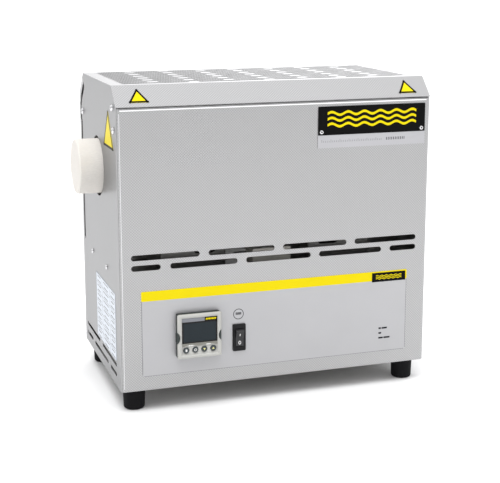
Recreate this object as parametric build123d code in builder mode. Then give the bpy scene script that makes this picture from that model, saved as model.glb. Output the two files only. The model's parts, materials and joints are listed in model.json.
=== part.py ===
from build123d import *
import os
from math import cos, radians, sin, sqrt

# Compact horizontal tube furnace on four rubber feet, in millimetres.
# X runs along the work tube, -Y is the front with the controller, +Z is up.
# The origin is on the table, under the middle of the casing and of the tube.

# ---- casing ----
BODY_W = 350.0            # casing, along the tube
BODY_D = 200.0            # casing, front to back
BODY_H = 322.0            # casing, without the feet
FOOT_H = 24.0
SHEET = 1.0               # all casing sheet
BEND_R = 2.0              # outside radius of every fold
FIT_GAP = 0.1             # between sheets that are pushed together
HALF_W = BODY_W / 2
FRONT = -BODY_D / 2
REAR = BODY_D / 2
BASE_Z = FOOT_H
TOP_Z = BASE_Z + BODY_H
FRONT_SLOPE = 20.5        # 45 degree slope along the hood's front
REAR_SLOPE = 25.0         # and along its back
HOOD_PROUD = 0.5          # the hood stands this far in front of the front panel
HOOD_FRONT_Z = TOP_Z - FRONT_SLOPE
HOOD_REAR_Z = 151.0       # lower edge of the hood's back wall
PANEL_TOP_Z = HOOD_FRONT_Z - 0.9
PANEL_FLANGE = 18.0
SHELF_Z = 140.0
SHELF_RIM = 12.0
SHELF_REAR = 81.5         # it stops short of the rear panel's fold
PAN_RIM = 9.0
REAR_PANEL_TOP = HOOD_REAR_Z - 0.4
TRAY_W = BODY_W - 4 * SHEET - 2 * FIT_GAP
TRAY_D = BODY_D - 2 * SHEET - 2 * FIT_GAP

# ---- air slots: a full row, and a row that is shifted by half a pitch ----
SLOT_L = 73.7
SLOT_PITCH = 83.5
END_SLOT_L = 31.4
END_SLOT_X = 146.4
SLOT_H = 6.0
FULL_ROW = [(step * SLOT_PITCH, SLOT_L) for step in (-1.5, -0.5, 0.5, 1.5)]
SHIFTED_ROW = [(step * SLOT_PITCH, SLOT_L) for step in (-1, 0, 1)]
SHIFTED_ROW += [(side * END_SLOT_X, END_SLOT_L) for side in (-1, 1)]
FRONT_ROWS = ((168.5, FULL_ROW), (157.4, SHIFTED_ROW))
HOOD_ROW_RISE = 14.0      # the same rows in the hood's back wall, this much higher
REAR_LEVELS = (60.0, 71.1, 82.2, 93.3)
REAR_ROW = [(-120.0, SLOT_L), (-120.0 + SLOT_PITCH, SLOT_L)]
TOP_ROW_PITCH = 11.1
TOP_ROWS = 13
SIDE_SLOT_H = 4.0
SIDE_SLOT_Y = 4.0
SIDE_ROWS = (
    (47.5, [(-45.0, 75.0), (45.0, 75.0)]),
    (36.3, [(-66.2, 32.5), (0.0, 75.0), (66.2, 32.5)]),
)

# ---- slit between each side panel and the hood's folded rear edge ----
STRIP = 8.0               # width of the hood's folded edge
SLIT = 8.0                # width of the slit in front of it
SLOPE_SUM = REAR + TOP_Z - REAR_SLOPE     # y + z along the rear slope
SLIT_TOP_Y = 68.0
TAB_Z0 = 290.0            # the panel steps back here round the rear screw
TAB_Z1 = 312.0
TAB_STEP = 3.5
TAB_REAR_Y = 70.0         # the hood's inner screw tabs
TAB_REAR_H = 9.0
FRONT_TAB = ((-72, 345.3), (-80, 345.3), (-95, 330.3), (-95, 317.5), (-79, 317.5), (-72, 326))
CORNER_RELIEF = 8.5       # the front panel's side folds stop this far below its top
RELIEF_W = 6.0

# ---- screws: side panel positions as (y, z) ----
M4_R = 2.0
M4_HEAD_R = 3.7
M4_HEAD_H = 2.2
M3_R = 1.5
M3_HEAD_R = 2.8
M3_HEAD_H = 1.8
HOLE_PLAY = 0.1
HOOD_SCREWS = ((78.0, 302.0), (-86.5, 324.0), (-89.5, 301.0))
SHELF_SCREWS = ((39.0, 146.0), (-39.0, 146.0))
REAR_SCREWS = ((-160.0, 142.0), (160.0, 142.0), (-160.0, 30.0), (160.0, 30.0))

# ---- feet ----
FOOT_R = 12.2
FOOT_TAPER = 0.9
FOOT_X = HALF_W - 17.4
FOOT_Y = REAR - 18.9
FOOT_RECESS_R = 6.5
FOOT_RECESS = 13.0
FOOT_BORE_R = 2.8
FOOT_SCREW_R = 2.5

# ---- work tube and heating module ----
TUBE_Z = BASE_Z + 227.0
TUBE_L = 360.0
TUBE_R = 20.0
TUBE_BORE_R = 15.0
HEATED_L = 200.0
COIL_R = 26.5
COIL_WIRE_R = 1.2
COIL_PITCH = 10.0
MODULE_L = 230.0
MODULE_R = 75.0
MODULE_BORE_R = 28.2
JACKET_R = 76.2
JACKET_T = 0.8
COLLAR_L = 34.0
COLLAR_R = 50.0
SADDLE_X0 = 48.0
SADDLE_W = 74.0
SADDLE_D = 124.0
SADDLE_H = 46.0
SADDLE_Z = SHELF_Z + SHEET
SADDLE_HOLE = (108.0, 167.0)
SADDLE_SLOT = (72.0, 163.0)
LEAD_R = 1.0
LEAD_HOLE_R = 3.0
LEAD_Z = 155.0            # height and depth of their run along the shelf
LEAD_Y = -34.0
BLOCK_LEAD_X = 16.0
PROBE_X = -2.5            # thermocouple, between two turns of the coil
PROBE_R = 1.5
PROBE_HOLE_R = 2.4

# ---- tube plugs ----
PLUG_R = 30.0
PLUG_REACH = 25.0         # stands out of the side panel
PLUG_HOLE_R = 33.0
PLUG_HEAD_L = 29.0
PLUG_STEM_L = 35.0
PLUG_PLAY = 0.3

# ---- labels and plates ----
LABEL_W = 304.6
LABEL_H = 93.0
LABEL_T = 0.3
LABEL_Z = 85.5
BADGE_X = 106.3
BADGE_Z = 296.1
BADGE_W = 125.8
BADGE_H = 44.7
BADGE_T = 0.8
RIVET_X = 58.7
RIVET_DROP = 5.0
RIVET_R = 1.3
RIVET_HEAD_R = 2.2
RATING_PLATE = (-27.3, 88.8)
RATING_W = 102.4
RATING_H = 74.5
SLOPE_STICKER_X = 149.8
SLOPE_STICKER = ((-10.75, -9.15), (10.75, -9.15), (0.0, 9.15))
SIDE_STICKER = ((-86.0, 279.5), (-37.0, 279.5), (-61.6, 319.0))

# ---- controller ----
CTRL_X = -91.5
CTRL_Z = 81.4
CTRL_CUTOUT = 45.2
BEZEL = 48.5
BEZEL_T = 5.0
COLLAR_T = 2.8
GASKET_T = 0.9
SLEEVE = 44.8
SLEEVE_BORE = 42.6
UNIT = 42.0
UNIT_L = 78.0
SLEEVE_BACK_Y = -22.0
EAR_R = 8.3
EAR_SAG = 3.0
EAR_DROP = 1.5
EAR_PLAY = 0.4
EAR_HINGE_R = 0.7         # rolled edge that the ear turns on, at its back
EAR_HINGE_L = 9.6
EAR_HINGE_Y = -102.1
KEY_X = (-14.85, -4.95, 4.95, 14.85)
KEY_DROP = 15.2
KEY_R = 3.2
KEY_PLAY = 0.25
RECESS_T = 0.7
WINDOW_W = 38.6
WINDOW_TOP = 15.8
WINDOW_BOTTOM = -7.5
WINDOW_T = 0.5
FACE_Y = FRONT - LABEL_T                 # front of the label
GASKET_Y = FACE_Y - GASKET_T             # front of the gasket
COLLAR_Y = GASKET_Y - COLLAR_T           # front of the sleeve's collar
BEZEL_Y = COLLAR_Y - BEZEL_T             # front of the bezel

# ---- rocker switch ----
SWITCH_X = -45.3
SWITCH_Z = 72.5
SWITCH_W = 14.5
SWITCH_H = 30.0
SWITCH_RIM = 2.0
SWITCH_CUTOUT_W = 13.2
SWITCH_CUTOUT_H = 27.4
ROCKER_W = 8.8
ROCKER_R = 10.0
ROCKER_PLAY = 0.3
ROCKER_TILT = 9.0
ROCKER_PIVOT_Y = FACE_Y + 0.8
ROCKER_WAIST = 3.4
ROCKER_CREST = 8.5
ROCKER_BACK = 3.0
PIN_R = 1.2
PIN_PLAY = 0.05

# ---- power inlet with fuse drawer, on the back ----
INLET_X = 110.0
INLET_Z = 77.0
INLET_W = 28.0
INLET_H = 48.0
INLET_DEPTH = 24.0
FLANGE_W = 31.0
FLANGE_H = 58.0
FLANGE_T = 3.0
SOCKET_Z = INLET_Z - 8.0
SOCKET_W = 24.4
SOCKET_H = 17.0
SOCKET_DEPTH = 17.0
DRAWER_Z = INLET_Z + 14.0
DRAWER_W = 20.0
DRAWER_H = 7.4
DRAWER_L = 24.0
FUSE_R = 2.5
FUSE_L = 20.0
FUSE_PITCH = 7.6
FUSE_SETBACK = 1.5        # the fuses start this far inside the drawer's front
FUSE_TROUGH = 1.4         # floor under the fuses
BLADE_Y = REAR + FLANGE_T - 3.0
TAB_L = 8.0
TAB_Y = REAR - INLET_DEPTH - TAB_L
INLET_SCREWS = ((INLET_X, INLET_Z - 26.5), (INLET_X, INLET_Z + 26.5))

# ---- power electronics on the base pan ----
SINK_X = 45.0
SINK_Y = 12.0
SINK_W = 70.0
SINK_D = 80.0
SINK_BASE = 5.0
FIN_H = 16.0
FIN_T = 2.0
FIN_COUNT = 9
RELAY_W = 45.0
RELAY_D = 58.0
RELAY_H = 23.0
BLOCK_X = 135.0
BLOCK_Y = 10.0
BLOCK_W = 48.0
BLOCK_D = 22.0
BLOCK_H = 18.0
POLE_PITCH = 12.0
HEATER_BLOCK_Y = -66.0
HEATER_WIRE_X = 8.0       # shelf holes for the wires to the block above
PROBE_WIRE_HOLE = (-40.0, 66.0)
MAINS_WIRE_R = 1.3
CONTROL_WIRE_R = 0.9
WIRE_BEND = 6.0
STUD_X = 150.0
STUD_Y = 62.0

os.makedirs("parts", exist_ok=True)
front_plane = Plane.XZ.offset(-FRONT)
rear_plane = Plane.XZ.offset(-REAR)
slope_plane = Plane(
    origin=(0, FRONT - HOOD_PROUD + FRONT_SLOPE / 2, HOOD_FRONT_Z + FRONT_SLOPE / 2),
    x_dir=(1, 0, 0),
    z_dir=(0, -1, 1),
)


def save(builder, name):
    """Label a finished sub-part and write its STEP file."""
    builder.part.label = name
    export_step(builder.part, f"parts/{name}.step")


def slot_row(row, level, height, middle=0.0):
    """Add one row of round-ended slots to the sketch in hand."""
    for along, length in row:
        with Locations((middle + along, level)):
            SlotOverall(length, height)


def holes(points, radius):
    """Add round holes to the sketch in hand."""
    with Locations(*points):
        Circle(radius)


def outward(side, distance):
    """Sketch plane across the tube whose normal points out of the given side."""
    if side > 0:
        return Plane.YZ.offset(distance)
    return Plane(origin=(-distance, 0, 0), x_dir=(0, 1, 0), z_dir=(-1, 0, 0))


def side_point(side, y, z):
    """Sketch point for (y, z) on a plane from outward()."""
    return (y, z) if side > 0 else (y, -z)


def pan_screw(plane, head_r, head_h, shank_r, shank_l):
    """Pan-head screw with a cross recess; the plane's normal leaves the head."""
    with BuildPart() as screw:
        with BuildSketch(plane):
            Circle(head_r)
        extrude(amount=head_h)
        crown = screw.faces().sort_by(Axis(plane.origin, plane.z_dir))[-1]
        fillet(crown.edges(), 0.6 * head_h)
        with BuildSketch(plane.offset(head_h)):
            Rectangle(head_r, 0.25 * head_r)
            Rectangle(0.25 * head_r, head_r)
        extrude(amount=-0.5 * head_h, mode=Mode.SUBTRACT)
        with BuildSketch(plane):
            Circle(shank_r)
        extrude(amount=-shank_l)
    return screw.part


def wire_run(points, bend, radius):
    """Insulated wire along straight runs joined by tangent arcs."""
    with BuildPart() as wire:
        with BuildLine() as path:
            FilletPolyline(*points, radius=bend)
        with BuildSketch(Plane(origin=path.line @ 0, z_dir=path.line % 0)):
            Circle(radius)
        sweep()
    return wire.part


# ---- base pan, standing on the feet ----
foot_points = [(x, y) for x in (-FOOT_X, FOOT_X) for y in (-FOOT_Y, FOOT_Y)]
with BuildPart() as base_pan:
    with Locations((0, 0, BASE_Z + PAN_RIM / 2)):
        Box(TRAY_W, TRAY_D, PAN_RIM)
    fillet(base_pan.edges().filter_by(Axis.Z), BEND_R)
    offset(amount=-SHEET, openings=base_pan.faces().sort_by(Axis.Z)[-1])
    with BuildSketch(Plane.XY.offset(BASE_Z)):
        holes(foot_points, FOOT_SCREW_R + HOLE_PLAY)
        with Locations((-95, 20)):
            with GridLocations(20, 50, 5, 2):
                SlotOverall(36, SLOT_H, rotation=90)
    extrude(amount=SHEET, mode=Mode.SUBTRACT)
    with BuildSketch(Plane.XY.offset(BASE_Z + SHEET)):
        with Locations((STUD_X, STUD_Y)):
            Circle(M4_R)
    extrude(amount=14)
    with BuildSketch(rear_plane):
        holes(REAR_SCREWS[2:], M4_R + HOLE_PLAY)
    extrude(amount=3 * SHEET, mode=Mode.SUBTRACT)
save(base_pan, "base_pan")

# ---- rubber feet and their screws ----
foot_names = ("foot_front_left", "foot_rear_left", "foot_front_right", "foot_rear_right")
for name, (x, y) in zip(foot_names, foot_points):
    with BuildPart() as foot:
        with BuildSketch(Plane.XY):
            holes([(x, y)], FOOT_R - FOOT_TAPER)
        with BuildSketch(Plane.XY.offset(FOOT_H)):
            holes([(x, y)], FOOT_R)
        loft()
        fillet(foot.edges().group_by(Axis.Z)[0], 2.5)
        fillet(foot.edges().group_by(Axis.Z)[-1], 0.6)
        with BuildSketch(Plane.XY):
            holes([(x, y)], FOOT_RECESS_R)
        extrude(amount=FOOT_RECESS, mode=Mode.SUBTRACT)
        with BuildSketch(Plane.XY):
            holes([(x, y)], FOOT_BORE_R)
        extrude(amount=FOOT_H, mode=Mode.SUBTRACT)
    save(foot, name)

with BuildPart() as foot_screws:
    with BuildSketch(Plane.XY.offset(FOOT_RECESS)):
        holes(foot_points, 1.9 * FOOT_SCREW_R)
    extrude(amount=-3.0)
    fillet(foot_screws.edges().group_by(Axis.Z)[0], 1.2)
    with BuildSketch(Plane.XY.offset(FOOT_RECESS)):
        holes(foot_points, FOOT_SCREW_R)
    extrude(amount=BASE_Z - FOOT_RECESS + 6.0)
save(foot_screws, "foot_screws")

# ---- front panel: folded back along both sides and the top ----
with BuildPart() as front_panel:
    with Locations((0, FRONT + PANEL_FLANGE / 2, (BASE_Z + PANEL_TOP_Z) / 2)):
        Box(BODY_W - 2 * SHEET, PANEL_FLANGE, PANEL_TOP_Z - BASE_Z)
    front_edges = front_panel.faces().sort_by(Axis.Y)[0].edges().sort_by(Axis.Z)
    fillet(front_edges[1:], BEND_R)
    open_faces = [front_panel.faces().sort_by(Axis.Y)[-1], front_panel.faces().sort_by(Axis.Z)[0]]
    offset(amount=-SHEET, openings=open_faces)
    with BuildSketch(front_plane):
        for level, row in FRONT_ROWS:
            slot_row(row, level, SLOT_H)
        with Locations((CTRL_X, CTRL_Z)):
            Rectangle(CTRL_CUTOUT, CTRL_CUTOUT)
        with Locations((SWITCH_X, SWITCH_Z)):
            Rectangle(SWITCH_CUTOUT_W, SWITCH_CUTOUT_H)
    extrude(amount=-2 * SHEET, mode=Mode.SUBTRACT)
    with BuildSketch(Plane.YZ.offset(-HALF_W)):
        holes([HOOD_SCREWS[2]], M4_R + HOLE_PLAY)
    extrude(amount=BODY_W, mode=Mode.SUBTRACT)
    relief_y = FRONT + BEND_R + PANEL_FLANGE / 2
    with Locations(*[(side * (HALF_W - SHEET), relief_y, PANEL_TOP_Z) for side in (-1, 1)]):
        Box(2 * RELIEF_W, PANEL_FLANGE, 2 * CORNER_RELIEF, mode=Mode.SUBTRACT)
save(front_panel, "front_panel")

# ---- hood: one folded sheet over the front slope, top, rear slope and back ----
slit_sum = SLOPE_SUM - STRIP * sqrt(2)          # y + z along the strip's inner edge
panel_sum = SLOPE_SUM - (STRIP + SLIT) * sqrt(2)
strip_y = REAR - STRIP
panel_y = strip_y - SLIT
slit_end = (SLIT_TOP_Y + SLIT / sqrt(2), panel_sum - SLIT_TOP_Y + SLIT / sqrt(2))
edge_in = SHEET / 2                             # the strip starts inside the hood's sheet
rim_sum = SLOPE_SUM - edge_in * sqrt(2)
strip_end_out = (slit_end[0] + (rim_sum - sum(slit_end)) / 2, slit_end[1] + (rim_sum - sum(slit_end)) / 2)
hood_line = (
    (FRONT - HOOD_PROUD, HOOD_FRONT_Z),
    (FRONT - HOOD_PROUD + FRONT_SLOPE, TOP_Z),
    (REAR - REAR_SLOPE, TOP_Z),
    (REAR, TOP_Z - REAR_SLOPE),
    (REAR, HOOD_REAR_Z),
    (REAR - 12.0, HOOD_REAR_Z),
)
strip_line = (
    (REAR - edge_in, HOOD_REAR_Z),
    (REAR - edge_in, rim_sum - REAR + edge_in),
    strip_end_out,
    slit_end,
    (strip_y, slit_sum - strip_y),
    (strip_y, TAB_Z1),
    (strip_y + TAB_STEP, TAB_Z1 - 2.0),
    (strip_y + TAB_STEP, TAB_Z0 + 2.0),
    (strip_y, TAB_Z0),
    (strip_y, HOOD_REAR_Z),
)
with BuildPart() as top_hood:
    with BuildSketch(Plane.YZ.offset(-HALF_W)):
        with BuildLine():
            FilletPolyline(*hood_line, radius=BEND_R)
            offset(amount=SHEET, side=Side.RIGHT)
        make_face()
    extrude(amount=BODY_W)
    with BuildSketch(Plane.YZ.offset(-HALF_W), Plane.YZ.offset(HALF_W - SHEET)):
        with BuildLine():
            Polyline(*strip_line, close=True)
        make_face()
    extrude(amount=SHEET)
    with BuildSketch(Plane.YZ.offset(2 * SHEET - HALF_W), Plane.YZ.offset(HALF_W - SHEET)):
        with Locations(((TAB_REAR_Y + REAR - edge_in) / 2, HOOD_SCREWS[0][1])):
            Rectangle(REAR - edge_in - TAB_REAR_Y, TAB_REAR_H)
        with BuildLine():
            Polyline(*FRONT_TAB, close=True)
        make_face()
    extrude(amount=-SHEET)
    with BuildSketch(Plane.XY.offset(TOP_Z)):
        for step in range(TOP_ROWS):
            row = FULL_ROW if step % 2 == 0 else SHIFTED_ROW
            slot_row(row, (step - (TOP_ROWS - 1) / 2) * TOP_ROW_PITCH, SLOT_H)
    extrude(amount=-2 * SHEET, mode=Mode.SUBTRACT)
    with BuildSketch(rear_plane):
        for level, row in FRONT_ROWS:
            slot_row(row, level + HOOD_ROW_RISE, SLOT_H)
    extrude(amount=2 * SHEET, mode=Mode.SUBTRACT)
    with BuildSketch(Plane.YZ.offset(-HALF_W)):
        holes(HOOD_SCREWS[:2], M4_R + HOLE_PLAY)
    extrude(amount=BODY_W, mode=Mode.SUBTRACT)
save(top_hood, "top_hood")

# ---- side panels: flat, with the tube's hole, air slots and the slit's front edge ----
under_slope = SLOPE_SUM - 1.2 * SHEET * sqrt(2)
under_top = TOP_Z - 1.2 * SHEET
slope_gap = 0.3 / sqrt(2)
panel_end = (slit_end[0] - slope_gap, slit_end[1] + slope_gap)
reach = (under_slope - sum(panel_end)) / 2
under_front = HOOD_FRONT_Z - FRONT + HOOD_PROUD - 1.2 * SHEET * sqrt(2)    # z - y
side_front = FRONT + 1.5 * SHEET
side_outline = (
    (side_front, BASE_Z),
    (REAR - 1.5 * SHEET, BASE_Z),
    (REAR - 1.5 * SHEET, HOOD_REAR_Z),
    (panel_y, HOOD_REAR_Z),
    (panel_y, TAB_Z0),
    (panel_y + TAB_STEP, TAB_Z0 + 2.0),
    (panel_y + TAB_STEP, TAB_Z1 - 2.0),
    (panel_y, TAB_Z1),
    (panel_y, panel_sum - panel_y),
    (SLIT_TOP_Y, panel_sum - SLIT_TOP_Y),
    panel_end,
    (panel_end[0] + reach, panel_end[1] + reach),
    (under_slope - under_top, under_top),
    (under_top - under_front, under_top),
    (side_front, side_front + under_front),
)
for name, inner_x in (("left_side_panel", SHEET - HALF_W), ("right_side_panel", HALF_W)):
    with BuildPart() as side_panel:
        with BuildSketch(Plane.YZ.offset(inner_x)):
            with BuildLine():
                Polyline(*side_outline, close=True)
            make_face()
        extrude(amount=-SHEET)
        with BuildSketch(Plane.YZ.offset(inner_x)):
            holes([(0, TUBE_Z)], PLUG_HOLE_R)
            for level, row in SIDE_ROWS:
                slot_row(row, level, SIDE_SLOT_H, SIDE_SLOT_Y)
            holes(HOOD_SCREWS, M4_R + HOLE_PLAY)
            holes(SHELF_SCREWS, M3_R + HOLE_PLAY)
        extrude(amount=-SHEET, mode=Mode.SUBTRACT)
    save(side_panel, name)

# ---- rear panel below the hood's back wall ----
with BuildPart() as rear_panel:
    with Locations((0, REAR - PANEL_FLANGE / 2, (BASE_Z + REAR_PANEL_TOP) / 2)):
        Box(BODY_W - 2 * SHEET, PANEL_FLANGE, REAR_PANEL_TOP - BASE_Z)
    rear_edges = rear_panel.faces().sort_by(Axis.Y)[-1].edges().sort_by(Axis.Z)
    fillet(rear_edges[1:], BEND_R)
    open_faces = [rear_panel.faces().sort_by(Axis.Y)[0], rear_panel.faces().sort_by(Axis.Z)[0]]
    offset(amount=-SHEET, openings=open_faces)
    with BuildSketch(rear_plane):
        with Locations((INLET_X, INLET_Z)):
            Rectangle(INLET_W + 2 * HOLE_PLAY, INLET_H + 2 * HOLE_PLAY)
        holes(INLET_SCREWS, M3_R + HOLE_PLAY)
        for level in REAR_LEVELS:
            slot_row(REAR_ROW, level, SLOT_H)
        holes(REAR_SCREWS, M4_R + HOLE_PLAY)
    extrude(amount=2 * SHEET, mode=Mode.SUBTRACT)
save(rear_panel, "rear_panel")

# ---- shelf between the electrics and the hot space ----
with BuildPart() as partition_shelf:
    with Locations((0, (SHELF_REAR - TRAY_D / 2) / 2, SHELF_Z + SHELF_RIM / 2)):
        Box(TRAY_W, SHELF_REAR + TRAY_D / 2, SHELF_RIM)
    fillet(partition_shelf.edges().filter_by(Axis.Z), BEND_R)
    offset(amount=-SHEET, openings=partition_shelf.faces().sort_by(Axis.Z)[-1])
    with BuildSketch(Plane.XY.offset(SHELF_Z)):
        holes([PROBE_WIRE_HOLE], 5.0)
        holes([(-HEATER_WIRE_X, HEATER_BLOCK_Y), (HEATER_WIRE_X, HEATER_BLOCK_Y)], 3.0)
        with Locations((0, 20)):
            with GridLocations(60, 40, 5, 2):
                SlotOverall(40, SLOT_H)
    extrude(amount=SHEET, mode=Mode.SUBTRACT)
    with BuildSketch(Plane.YZ.offset(-HALF_W)):
        holes(SHELF_SCREWS, M3_R + HOLE_PLAY)
    extrude(amount=BODY_W, mode=Mode.SUBTRACT)
save(partition_shelf, "partition_shelf")

# ---- casing screws ----
side_screw_list = []
for side in (-1, 1):
    for y, z in HOOD_SCREWS:
        seat = Plane(origin=(side * HALF_W, y, z), z_dir=(side, 0, 0))
        side_screw_list.append(pan_screw(seat, M4_HEAD_R, M4_HEAD_H, M4_R, 5.0))
    for y, z in SHELF_SCREWS:
        seat = Plane(origin=(side * HALF_W, y, z), z_dir=(side, 0, 0))
        side_screw_list.append(pan_screw(seat, M3_HEAD_R, M3_HEAD_H, M3_R, 5.0))
with BuildPart() as side_screws:
    add(side_screw_list)
save(side_screws, "side_screws")

rear_screw_list = []
for x, z in REAR_SCREWS:
    seat = Plane(origin=(x, REAR, z), z_dir=(0, 1, 0))
    rear_screw_list.append(pan_screw(seat, M4_HEAD_R, M4_HEAD_H, M4_R, 5.0))
with BuildPart() as rear_screws:
    add(rear_screw_list)
save(rear_screws, "rear_screws")

# ---- labels and plates ----
with BuildPart() as control_label:
    with BuildSketch(front_plane):
        with Locations((0, LABEL_Z)):
            RectangleRounded(LABEL_W, LABEL_H, 1.5)
        with Locations((CTRL_X, CTRL_Z)):
            Rectangle(CTRL_CUTOUT, CTRL_CUTOUT, mode=Mode.SUBTRACT)
        with Locations((SWITCH_X, SWITCH_Z)):
            Rectangle(SWITCH_CUTOUT_W, SWITCH_CUTOUT_H, mode=Mode.SUBTRACT)
    extrude(amount=LABEL_T)
save(control_label, "control_label")

rivet_points = [(BADGE_X + side * RIVET_X, BADGE_Z - RIVET_DROP) for side in (-1, 1)]
with BuildPart() as badge_plate:
    with BuildSketch(front_plane):
        with Locations((BADGE_X, BADGE_Z)):
            RectangleRounded(BADGE_W, BADGE_H, 1.0)
        with Locations(*rivet_points):
            Circle(RIVET_R, mode=Mode.SUBTRACT)
    extrude(amount=BADGE_T)
save(badge_plate, "badge_plate")

with BuildPart() as badge_rivets:
    with BuildSketch(front_plane.offset(BADGE_T)):
        holes(rivet_points, RIVET_HEAD_R)
    extrude(amount=0.9)
    fillet(badge_rivets.edges().group_by(Axis.Y)[0], 0.8)
    with BuildSketch(front_plane.offset(BADGE_T)):
        holes(rivet_points, RIVET_R)
    extrude(amount=-BADGE_T)
save(badge_rivets, "badge_rivets")

with BuildPart() as rating_plate:
    with BuildSketch(Plane.YZ.offset(-HALF_W)):
        with Locations(RATING_PLATE):
            RectangleRounded(RATING_W, RATING_H, 1.0)
    extrude(amount=-LABEL_T)
save(rating_plate, "rating_plate")

with BuildPart() as triangle_stickers:
    with BuildSketch(slope_plane) as slope_stickers:
        with Locations((-SLOPE_STICKER_X, 0), (SLOPE_STICKER_X, 0)):
            Polygon(*SLOPE_STICKER, align=None)
        fillet(slope_stickers.vertices(), 1.0)
    extrude(amount=LABEL_T)
    with BuildSketch(Plane.YZ.offset(-HALF_W), Plane.YZ.offset(HALF_W + LABEL_T)) as side_stickers:
        Polygon(*SIDE_STICKER, align=None)
        fillet(side_stickers.vertices(), 1.5)
    extrude(amount=-LABEL_T)
save(triangle_stickers, "triangle_stickers")

# ---- work tube and its heating coil ----
with BuildPart() as work_tube:
    with BuildSketch(Plane.YZ.offset(-TUBE_L / 2)):
        with Locations((0, TUBE_Z)):
            Circle(TUBE_R)
            Circle(TUBE_BORE_R, mode=Mode.SUBTRACT)
    extrude(amount=TUBE_L)
save(work_tube, "work_tube")

coil_end = (HEATED_L / 2, 0, TUBE_Z)
with BuildPart() as heating_coil:
    with BuildLine() as coil_path:
        Helix(COIL_PITCH, HEATED_L, COIL_R, center=coil_end, direction=(-1, 0, 0))
    with BuildSketch(Plane(origin=coil_path.line @ 0, z_dir=coil_path.line % 0)):
        Circle(COIL_WIRE_R)
    sweep(is_frenet=True)
save(heating_coil, "heating_coil")

# ---- fibre insulation: two half shells, split at the tube's axis ----
lead_points = [(side * HEATED_L / 2, 0) for side in (-1, 1)]
for name, half in (("insulation_lower_shell", -1), ("insulation_upper_shell", 1)):
    with BuildPart() as shell:
        with BuildSketch(Plane.YZ.offset(-MODULE_L / 2)):
            with Locations((0, TUBE_Z)):
                Circle(MODULE_R)
                Circle(MODULE_BORE_R, mode=Mode.SUBTRACT)
            with Locations((0, TUBE_Z - half * (MODULE_R - 0.1))):
                Rectangle(3 * MODULE_R, 2 * MODULE_R, mode=Mode.SUBTRACT)
        extrude(amount=MODULE_L)
        with BuildSketch(Plane.XZ):
            holes([(PROBE_X, TUBE_Z)], PROBE_HOLE_R)
        extrude(amount=-MODULE_R - 5.0, mode=Mode.SUBTRACT)
        if half < 0:
            with BuildSketch(Plane.XY.offset(TUBE_Z)):
                holes(lead_points, LEAD_HOLE_R)
            extrude(amount=-MODULE_R - 5.0, mode=Mode.SUBTRACT)
    save(shell, name)

with BuildPart() as module_jacket:
    with BuildSketch(Plane.YZ.offset(-MODULE_L / 2 - 1.0)):
        with Locations((0, TUBE_Z)):
            Circle(JACKET_R)
            Circle(JACKET_R - JACKET_T, mode=Mode.SUBTRACT)
        with Locations((0, TUBE_Z + JACKET_R)):
            Rectangle(3.0, 10.0, mode=Mode.SUBTRACT)
    extrude(amount=MODULE_L + 2.0)
    with BuildSketch(Plane.XZ):
        holes([(PROBE_X, TUBE_Z)], PROBE_HOLE_R)
    extrude(amount=-2 * MODULE_R, mode=Mode.SUBTRACT)
    with BuildSketch(Plane.XY.offset(TUBE_Z)):
        holes(lead_points, LEAD_HOLE_R)
    extrude(amount=-2 * MODULE_R, mode=Mode.SUBTRACT)
save(module_jacket, "module_jacket")

collar_x = MODULE_L / 2 + 1.2
for name, start_x in (("left_end_collar", -collar_x - COLLAR_L), ("right_end_collar", collar_x)):
    with BuildPart() as end_collar:
        with BuildSketch(Plane.YZ.offset(start_x)):
            with Locations((0, TUBE_Z)):
                Circle(COLLAR_R)
                Circle(TUBE_R + 0.2, mode=Mode.SUBTRACT)
        extrude(amount=COLLAR_L)
        chamfer(end_collar.edges().filter_by(GeomType.CIRCLE).sort_by(SortBy.RADIUS)[-2:], 2.0)
    save(end_collar, name)

# ---- saddles: open sheet boxes with a curved seat, screwed to the shelf ----
for name, side in (("left_saddle", -1), ("right_saddle", 1)):
    with BuildPart() as saddle:
        with Locations((side * (SADDLE_X0 + SADDLE_W / 2), 0, SADDLE_Z + SADDLE_H / 2)):
            Box(SADDLE_W, SADDLE_D, SADDLE_H)
        fillet(saddle.edges().filter_by(Axis.Z), BEND_R)
        ends = [saddle.faces().sort_by(Axis.Z)[0], saddle.faces().sort_by(Axis.Z)[-1]]
        offset(amount=-1.2, openings=ends)
        with BuildSketch(Plane.YZ.offset(side * SADDLE_X0)):
            with Locations((0, TUBE_Z)):
                Circle(JACKET_R + 0.2)
        extrude(amount=side * SADDLE_W, mode=Mode.SUBTRACT)
        with BuildSketch(Plane.YZ.offset(side * SADDLE_X0)):
            holes([(LEAD_Y, LEAD_Z)], LEAD_HOLE_R)
        extrude(amount=side * 2.0, mode=Mode.SUBTRACT)
        with BuildSketch(Plane.XZ.offset(SADDLE_D / 2)):
            holes([(side * SADDLE_HOLE[0], SADDLE_HOLE[1])], 4.5)
            with Locations((side * SADDLE_SLOT[0], SADDLE_SLOT[1])):
                SlotOverall(24, 8)
        extrude(amount=-3.0, mode=Mode.SUBTRACT)
    save(saddle, name)

# ---- thermocouple: ceramic sheath with a connection head ----
with BuildPart() as thermocouple:
    with Locations((PROBE_X, JACKET_R + 8.6 + 5.0, TUBE_Z)):
        Box(22, 10, 16)
    fillet(thermocouple.edges().filter_by(Axis.Y), 2.0)
    with BuildSketch(Plane.XZ.offset(-TUBE_R - 0.6)):
        holes([(PROBE_X, TUBE_Z)], PROBE_R)
    extrude(amount=-60.0)
    with BuildSketch(Plane.XZ.offset(-JACKET_R - 0.6)):
        holes([(PROBE_X, TUBE_Z)], 5.0)
    extrude(amount=-8.0)
save(thermocouple, "thermocouple")

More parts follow.
